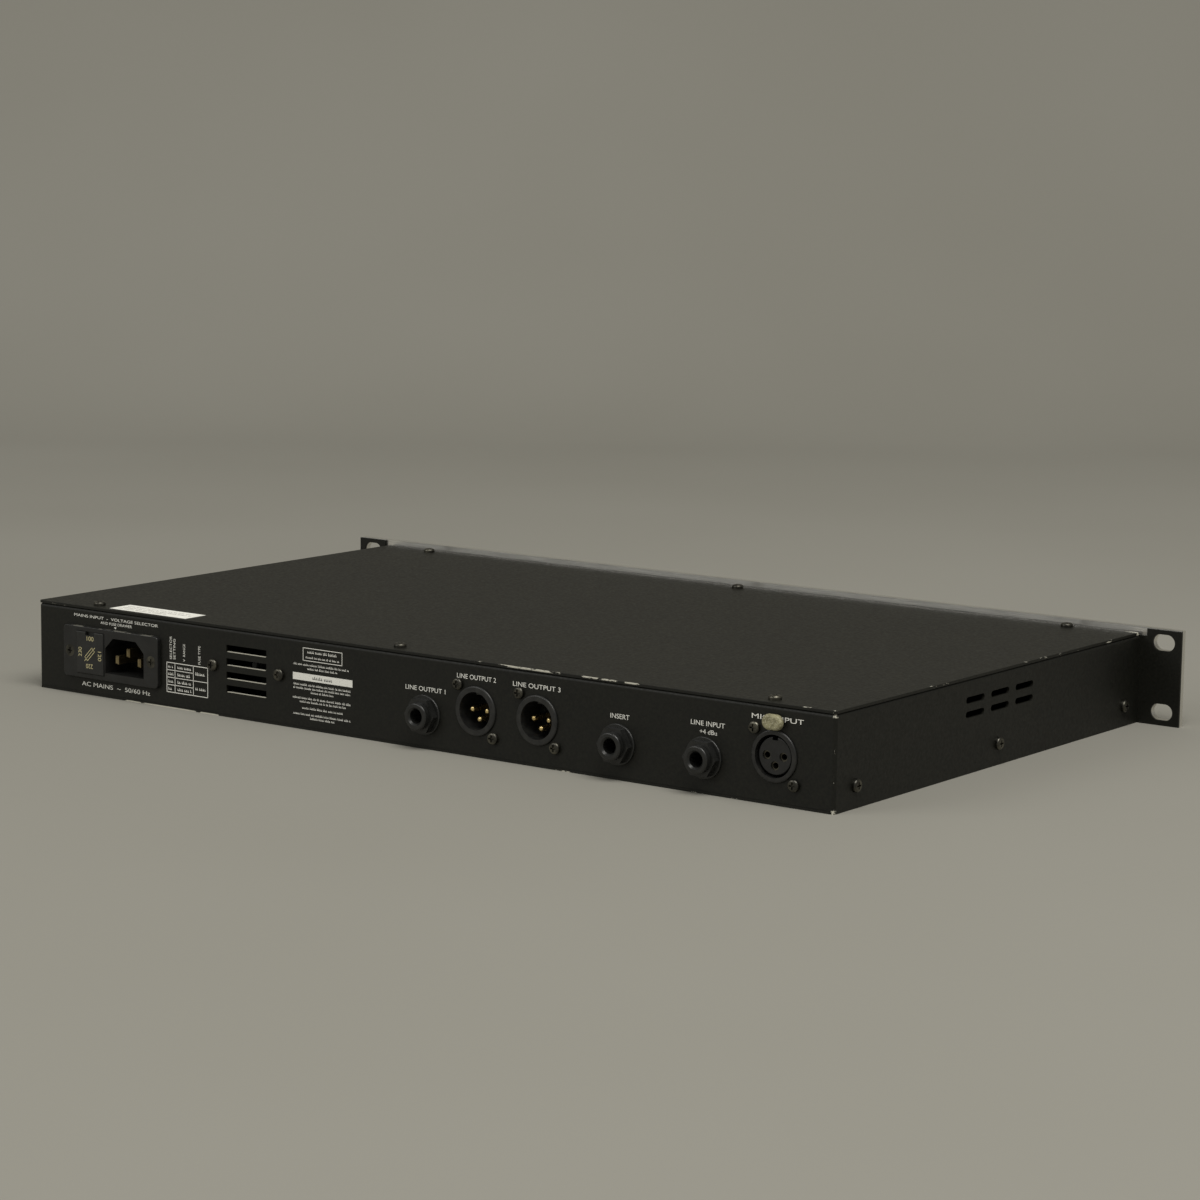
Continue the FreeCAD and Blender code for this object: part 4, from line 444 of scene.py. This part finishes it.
def make_finishes():
    """One material for each slot that the record names."""
    return {
        "black_paint": black_paint("black_paint"),
        "black_screw": plated("black_screw", (0.065, 0.063, 0.055), 0.34, (0.18, 0.17, 0.135)),
        "zinc_plate": plated("zinc_plate", (0.56, 0.57, 0.58), 0.32, (0.42, 0.41, 0.38)),
        "brushed_aluminium": brushed("brushed_aluminium", (0.86, 0.84, 0.79), 0),
        # near-black: painted shade of the case's dark inside, seen through the rear vents
        "bracket_metal": brushed("bracket_metal", (0.03, 0.03, 0.03), 2),
        "shaft_metal": brushed("shaft_metal", (0.68, 0.68, 0.68), 1),
        "pot_metal": plated("pot_metal", (0.5, 0.5, 0.5), 0.35, (0.38, 0.37, 0.33)),
        # dark grey-brown: painted shade of the contacts down in their holes
        "silver_contact": plated("silver_contact", (0.16, 0.15, 0.12), 0.4, (0.09, 0.08, 0.06)),
        "gold_contact": plated("gold_contact", (0.95, 0.74, 0.36), 0.26, (0.72, 0.54, 0.24)),
        "blade_metal": plated("blade_metal", (0.36, 0.29, 0.16), 0.36, (0.2, 0.155, 0.08)),
        # the inlet's flange edge carries a painted highlight, with dust
        "inlet_plastic": moulded("inlet_plastic", (0.008, 0.008, 0.0075), 0.36, places=INLET_DUST_AND_HIGHLIGHT),
        "drawer_plastic": moulded("drawer_plastic", (0.011, 0.011, 0.010), 0.45),
        "insert_plastic": moulded("insert_plastic", (0.009, 0.009, 0.009), 0.4),
        "jack_plastic": moulded("jack_plastic", (0.011, 0.0112, 0.0105), 0.3, Specular_IOR_Level=0.5),
        "header_plastic": moulded("header_plastic", (0.02, 0.02, 0.02), 0.5),
        "chip_black": moulded("chip_black", (0.017, 0.017, 0.018), 0.55),
        "switch_plastic": moulded("switch_plastic", (0.012, 0.012, 0.012), 0.35),
        "knob_plastic": moulded("knob_plastic", (0.018, 0.018, 0.019), 0.5),
        "button_plastic": moulded("button_plastic", (0.16, 0.16, 0.165), 0.48),
        "pad_rubber": moulded("pad_rubber", (0.014, 0.014, 0.014), 0.8),
        "xlr_black": plated_black("xlr_black"),
        "latch_plastic": aged_plastic("latch_plastic"),
        "board_green": circuit_board("board_green"),
        "transformer_tape": winding("transformer_tape"),
        "can_sleeve": moulded("can_sleeve", (0.02, 0.025, 0.06), 0.3, Coat_Weight=0.5),
        "wire_sleeve": wires("wire_sleeve"),
        "ribbon_grey": ribbon("ribbon_grey"),
        "lamp_red": lens("lamp_red", (0.35, 0.012, 0.01), 0.6),
        "lamp_green": lens("lamp_green", (0.02, 0.22, 0.03), 0.6),
        "window_plastic": lens("window_plastic", (0.03, 0.006, 0.006), 0.5),
        "fuse_glass": clear_tube("fuse_glass"),
        "paper_white": paper("paper_white"),
    }


def dress_nodes(finishes):
    """Gives each node of the frame its finish, by the slot that it was packed with."""
    for node in NODES.values():
        slot = node.data.materials[0].name.split(".")[0]
        node.data.materials.clear()
        node.data.materials.append(finishes[slot])


# ---- print ----------------------------------------------------------------------------------
# height of a capital as a share of the built-in font's size
CAP_SHARE = 0.729
# how far the ink stands off its face, in millimetres
INK_LIFT = 0.03


class Print:
    """Everything in one ink on one flat face, gathered in one mesh.

    Places are in millimetres: u along the reading direction, v up the face."""

    def __init__(self, origin, across, up):
        across, up = Vector(across), Vector(up)
        turn = Matrix((across, up, across.cross(up))).transposed().to_4x4()
        self.place = Matrix.Translation(origin) @ turn @ Matrix.Scale(MM, 4)
        self.mesh = bmesh.new()

    def text(self, words, middle, width, cap, turn=0.0):
        """A line of text about the middle of its baseline, drawn out to its width."""
        curve = bpy.data.curves.new("words", "FONT")
        curve.body = words
        curve.size = cap / CAP_SHARE
        holder = bpy.data.objects.new("words", curve)
        bpy.context.scene.collection.objects.link(holder)
        bpy.context.view_layer.update()
        drawn = holder.evaluated_get(bpy.context.evaluated_depsgraph_get())
        flat = bpy.data.meshes.new_from_object(drawn)
        bpy.data.objects.remove(holder)
        bpy.data.curves.remove(curve)
        reach = [vertex.co.x for vertex in flat.vertices]
        low, high = min(reach), max(reach)
        fit = Matrix.Translation((*middle, INK_LIFT)) @ Matrix.Rotation(math.radians(turn), 4, "Z")
        fit = fit @ Matrix.Diagonal((width / (high - low), 1.0, 1.0, 1.0))
        flat.transform(self.place @ fit @ Matrix.Translation((-(low + high) / 2, 0.0, 0.0)))
        self.mesh.from_mesh(flat)
        bpy.data.meshes.remove(flat)

    def patch(self, corners):
        """A filled outline."""
        points = [self.place @ Vector((u, v, INK_LIFT)) for u, v in corners]
        self.mesh.faces.new([self.mesh.verts.new(point) for point in points])

    def bar(self, left, right, low, high):
        """A filled rectangle."""
        self.patch([(left, low), (right, low), (right, high), (left, high)])

    def line(self, start, end, width):
        """A straight stroke between two places."""
        start, end = Vector(start), Vector(end)
        side = (end - start).normalized() * width / 2
        side = Vector((-side.y, side.x))
        self.patch([start - side, end - side, end + side, start + side])

    def box(self, left, right, low, high, width):
        """A rectangle drawn as four strokes that meet at its corners."""
        self.line((left, low), (right, low), width)
        self.line((left, high), (right, high), width)
        self.line((left, low - width / 2), (left, high + width / 2), width)
        self.line((right, low - width / 2), (right, high + width / 2), width)

    def dashes(self, left, right, base, cap, chance):
        """A row of strokes grouped like words, in place of small print."""
        u = left
        while u < right:
            for _ in range(chance.randint(2, 7)):
                wide = cap * chance.uniform(0.35, 0.6)
                if u + wide > right:
                    return
                high = cap * chance.choice((0.72, 0.78, 1.0))
                self.bar(u, u + wide * 0.45, base, base + high)
                self.bar(u + wide * 0.45, u + wide, base, base + cap * 0.3)
                u += wide + cap * 0.2
            u += cap * 0.5

    def done(self, name, body, material):
        """Makes the gathered print one piece that rides on a body."""
        data = bpy.data.meshes.new(name)
        self.mesh.to_mesh(data)
        self.mesh.free()
        data.materials.append(material)
        piece = bpy.data.objects.new(name, data)
        bpy.context.scene.collection.objects.link(piece)
        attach(piece, body)


def ink(name, colour):
    """Screen print, a little uneven in cover."""
    paint = Paint(name, colour, 0.55)
    thin = paint.ramp(paint.noise(1900.0, 4.0, 0.7), 0.56, 0.72)
    paint.colour(paint.mix(thin, colour, tuple(value * 0.45 for value in colour)))
    paint.uneven_gloss(800.0, 0.5, 0.7)
    return paint.material


# each legend: words, middle of its baseline, width, height of its capitals, turn in degrees
REAR_LEGENDS = [
    ("MAINS INPUT  -  VOLTAGE SELECTOR", (-170.9, 14.3), 53.4, 1.35, 0),
    ("AND FUSE DRAWER", (-170.6, 12.2), 19.9, 1.3, 0),
    ("AC MAINS  ~  50/60 Hz", (-171.2, -17.9), 43.6, 2.1, 0),
    ("SELECTOR", (-135.6, 5.9), 10.6, 1.4, 90),
    ("SETTING", (-133.4, 5.4), 9.4, 1.4, 90),
    ("V  RANGE", (-127.4, 4.4), 8.1, 1.4, 90),
    ("FUSE TYPE", (-118.0, 4.3), 8.5, 1.4, 90),
    ("LINE OUTPUT 1", (13.0, 3.2), 22.0, 2.1, 0),
    ("LINE OUTPUT 2", (40.8, 11.3), 21.0, 2.1, 0),
    ("LINE OUTPUT 3", (72.9, 11.2), 25.0, 2.1, 0),
    ("INSERT", (116.0, 3.8), 9.6, 2.1, 0),
    ("LINE INPUT", (159.7, 6.1), 16.6, 2.1, 0),
    ("+4 dBu", (160.0, 2.8), 8.4, 2.0, 0),
    ("MIC INPUT", (193.2, 12.2), 24.7, 2.1, 0),
]
# rows of strokes in place of the small print: start, end, baseline
SMALL_PRINT = [
    (-62.0, -29.5, 6.7),
    (-54.0, -36.5, 5.0),
    (-62.0, -28.4, -2.3),
    (-62.2, -29.0, -3.9),
    (-52.0, -38.2, -5.5),
    (-62.5, -28.2, -8.3),
    (-58.4, -31.0, -9.9),
    (-57.0, -33.5, -12.7),
    (-62.2, -28.6, -15.5),
    (-52.4, -38.0, -17.1),
]
SMALL_CAP = 0.95
TABLE = ((-138.8, -113.6), (-14.6, -1.0))
TABLE_COLUMNS = (0.2, 0.65)
TABLE_ROWS = 4
FRAME_WIDTH = 0.35
RULE_WIDTH = 0.3
FUSE_ENDS = ((-187.6, -4.6), (-183.0, 0.0))
SELECTOR_MARKS = [
    ("100", (-184.9, 4.0), 4.4, 2.2, 0),
    ("120", (-179.9, -2.6), 4.4, 2.2, -90),
    ("220", (-185.5, -6.9), 4.4, 2.2, 180),
    ("230", (-190.4, -1.6), 4.4, 2.2, 90),
]


def print_rear(white, dark):
    """Captions, voltage table and small print on the rear panel."""
    chance = random.Random(4)
    rear = Print((0.0, REAR_Y, 0.0), (-1, 0, 0), (0, 0, 1))
    for legend in REAR_LEGENDS:
        rear.text(*legend)
    rear.patch([(-172.0, 11.5), (-171.2, 10.6), (-170.4, 11.5)])
    (left, right), (low, high) = TABLE
    rear.box(left, right, low, high, FRAME_WIDTH)
    first, second = (left + (right - left) * share for share in TABLE_COLUMNS)
    row = (high - low) / TABLE_ROWS
    rear.line((first, low), (first, high), RULE_WIDTH)
    rear.line((second, low), (second, high), RULE_WIDTH)
    for step in range(1, TABLE_ROWS):
        end = right if step == 2 else second
        rear.line((left, low + step * row), (end, low + step * row), RULE_WIDTH)
    for step in range(TABLE_ROWS):
        base = low + (step + 0.3) * row
        rear.dashes(left + 0.9, first - 0.6, base, 1.3, chance)
        rear.dashes(first + 1.6, second - 1.2, base, 1.3, chance)
    for step in (1, 3):
        rear.dashes(second + 1.3, right - 1.0, low + step * row - 0.7, 1.4, chance)
    rear.box(-56.5, -34.0, 9.0, 14.6, RULE_WIDTH)
    rear.dashes(-54.0, -36.5, 12.4, 1.2, chance)
    rear.dashes(-55.0, -35.5, 10.1, 0.9, chance)
    rear.bar(-62.5, -28.0, 0.0, 3.2)
    for start, end, base in SMALL_PRINT:
        rear.dashes(start, end, base, SMALL_CAP, chance)
    rear.done("rear_print", "chassis", white)
    band = Print((0.0, REAR_Y + 0.02 * MM, 0.0), (-1, 0, 0), (0, 0, 1))
    band.dashes(-51.0, -39.5, 0.9, 1.4, chance)
    band.done("rear_print_band", "chassis", dark)


def print_selector(yellow):
    """Voltages round a fuse mark on the drawer's face."""
    marks = Print((0.0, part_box("fuse_drawer")[1].y, 0.0), (-1, 0, 0), (0, 0, 1))
    for mark in SELECTOR_MARKS:
        marks.text(*mark)
    marks.line((-188.7, -5.7), (-181.9, 1.1), RULE_WIDTH)
    for side in (-0.85, 0.85):
        (u, v), (end_u, end_v) = FUSE_ENDS
        marks.line((u - side, v + side), (end_u - side, end_v + side), RULE_WIDTH)
    for u, v in FUSE_ENDS:
        marks.line((u - 0.9, v + 0.9), (u + 0.9, v - 0.9), RULE_WIDTH)
    marks.done("selector_marks", "fuse_carrier", yellow)


def print_label(grey):
    """Faint typed rows on the paper label."""
    chance = random.Random(9)
    low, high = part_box("paper_label")
    label = Print((0.0, 0.0, high.z), (-1, 0, 0), (0, -1, 0))
    left, right = -high.x / MM, -low.x / MM
    front, rear = -high.y / MM, -low.y / MM
    for share, start, end in ((0.66, 0.06, 0.9), (0.42, 0.06, 0.97), (0.18, 0.06, 0.7)):
        base = front + (rear - front) * share
        label.dashes(left + (right - left) * start, left + (right - left) * end, base, 1.5, chance)
    label.done("label_print", "chassis", grey)


KNOB_CAPTIONS = (
    ("knob_1", "INPUT", 10.5),
    ("knob_2", "DRIVE", 10.5),
    ("knob_3", "AMOUNT", 14.0),
    ("knob_4", "OUTPUT", 14.0),
)
BUTTON_CAPTIONS = (("button_1", "LINE", 7.0), ("button_2", "LOW CUT", 13.5), ("button_3", "BYPASS", 12.0))
KNOB_GROOVE = 0.5
KNOB_SWEEP = 150
SCALE_STEP = 30
SCALE_MARKS = 11
SCALE_INNER = 9.8
SCALE_OUTER = 11.4
SCALE_OUTER_LONG = 12.2
METER_FIGURES = ("-30", "-20", "-10", "-5", "0", "+3")


def middle_of(node):
    """Middle of a node seen from the front, in millimetres."""
    low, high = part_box(node)
    return (low.x + high.x) / 2 / MM, (low.z + high.z) / 2 / MM


def print_front(dark):
    """Knob scales, captions and meter figures on the fascia."""
    front = Print((0.0, PANEL_Y, 0.0), (1, 0, 0), (0, 0, 1))
    for node, caption, width in KNOB_CAPTIONS:
        x, z = middle_of(node)
        for step in range(SCALE_MARKS):
            turn = math.radians(KNOB_SWEEP - SCALE_STEP * step)
            reach = SCALE_OUTER_LONG if step % 5 == 0 else SCALE_OUTER
            start = (x - SCALE_INNER * math.sin(turn), z + SCALE_INNER * math.cos(turn))
            front.line(start, (x - reach * math.sin(turn), z + reach * math.cos(turn)), FRAME_WIDTH)
        front.text("0", (x - 8.2, z - 13.6), 1.3, 1.9)
        front.text("5", (x, z + 13.4), 1.3, 1.9)
        front.text("10", (x + 8.6, z - 13.6), 2.6, 1.9)
        front.text(caption, (x, z - 19.0), width, 2.2)
    for node, caption, width in BUTTON_CAPTIONS:
        x, z = middle_of(node)
        front.text(caption, (x, z - 12.0), width, 2.0)
    low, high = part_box("display_window")
    left, right = low.x / MM, high.x / MM
    for step, figure in enumerate(METER_FIGURES):
        u = left + (right - left) * (step + 0.5) / len(METER_FIGURES)
        front.text(figure, (u, low.z / MM - 3.2), 1.1 * len(figure) + 0.4, 1.7)
        front.line((u, low.z / MM - 1.0), (u, low.z / MM - 0.3), RULE_WIDTH)
    front.text("LEVEL  dB", ((left + right) / 2, high.z / MM + 1.6), 14.0, 2.0)
    x, z = middle_of("power_rocker")
    front.text("POWER", (x, z - 17.5), 10.0, 2.0)
    front.done("front_print", "chassis", dark)


def print_knobs(pale):
    """A line filled into each knob's pointer groove."""
    for index, (node, _, _) in enumerate(KNOB_CAPTIONS, 1):
        x, z = middle_of(node)
        groove = Print((0.0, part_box(node)[0].y + KNOB_GROOVE * MM, 0.0), (1, 0, 0), (0, 0, 1))
        groove.bar(x - 0.4, x + 0.4, z + 2.6, z + 6.1)
        groove.done("knob_line_%d" % index, "control_%d" % index, pale)


# ---- stage, in metres -----------------------------------------------------------------------
FLOOR_FRONT = -3.5
FLOOR_BACK = 1.1
BEND_RADIUS = 0.55
BACKDROP_HEIGHT = 3.2
STAGE_HALF_WIDTH = 4.0
BEND_STEPS = 24
STAGE_MIDDLE_Y = 0.1


def make_stage():
    """A plain pale floor that curves up into a backdrop behind the unit."""
    paint = Paint("stage_cloth", (0.30, 0.29, 0.255), 0.95)
    cloud = paint.ramp(paint.noise(1.3, 3.0), 0.3, 0.7)
    paint.colour(paint.mix(cloud, (0.285, 0.275, 0.24), (0.315, 0.305, 0.27)))
    azimuth = math.radians(VIEW_AZIMUTH)
    forward = Vector((math.sin(azimuth), -math.cos(azimuth), 0.0)) * -1
    across = Vector((forward.y, -forward.x, 0.0))
    profile = [(FLOOR_FRONT, 0.0), (FLOOR_BACK, 0.0)]
    for step in range(1, BEND_STEPS + 1):
        turn = math.pi / 2 * step / BEND_STEPS
        profile.append((FLOOR_BACK + BEND_RADIUS * math.sin(turn), BEND_RADIUS * (1 - math.cos(turn))))
    profile.append((FLOOR_BACK + BEND_RADIUS, BACKDROP_HEIGHT))
    mesh = bmesh.new()
    rows = []
    for depth, rise in profile:
        middle = forward * depth + Vector((0.0, STAGE_MIDDLE_Y, FLOOR_Z + rise))
        edges = (-STAGE_HALF_WIDTH, STAGE_HALF_WIDTH)
        rows.append([mesh.verts.new(middle + across * side) for side in edges])
    for low, high in zip(rows, rows[1:]):
        mesh.faces.new((low[0], low[1], high[1], high[0]))
    data = bpy.data.meshes.new("stage")
    mesh.to_mesh(data)
    mesh.free()
    for polygon in data.polygons:
        polygon.use_smooth = True
    stage = bpy.data.objects.new("stage", data)
    data.materials.append(paint.material)
    bpy.context.scene.collection.objects.link(stage)


make_camera()
make_light()
make_stage()
FINISHES = make_finishes()
dress_nodes(FINISHES)
WHITE = ink("ink_white", (0.92, 0.91, 0.85))
DARK = ink("ink_dark", (0.012, 0.012, 0.012))
print_rear(WHITE, DARK)
print_selector(ink("ink_yellow", (0.62, 0.55, 0.30)))
print_label(ink("ink_grey", (0.42, 0.42, 0.40)))
print_front(DARK)
print_knobs(WHITE)
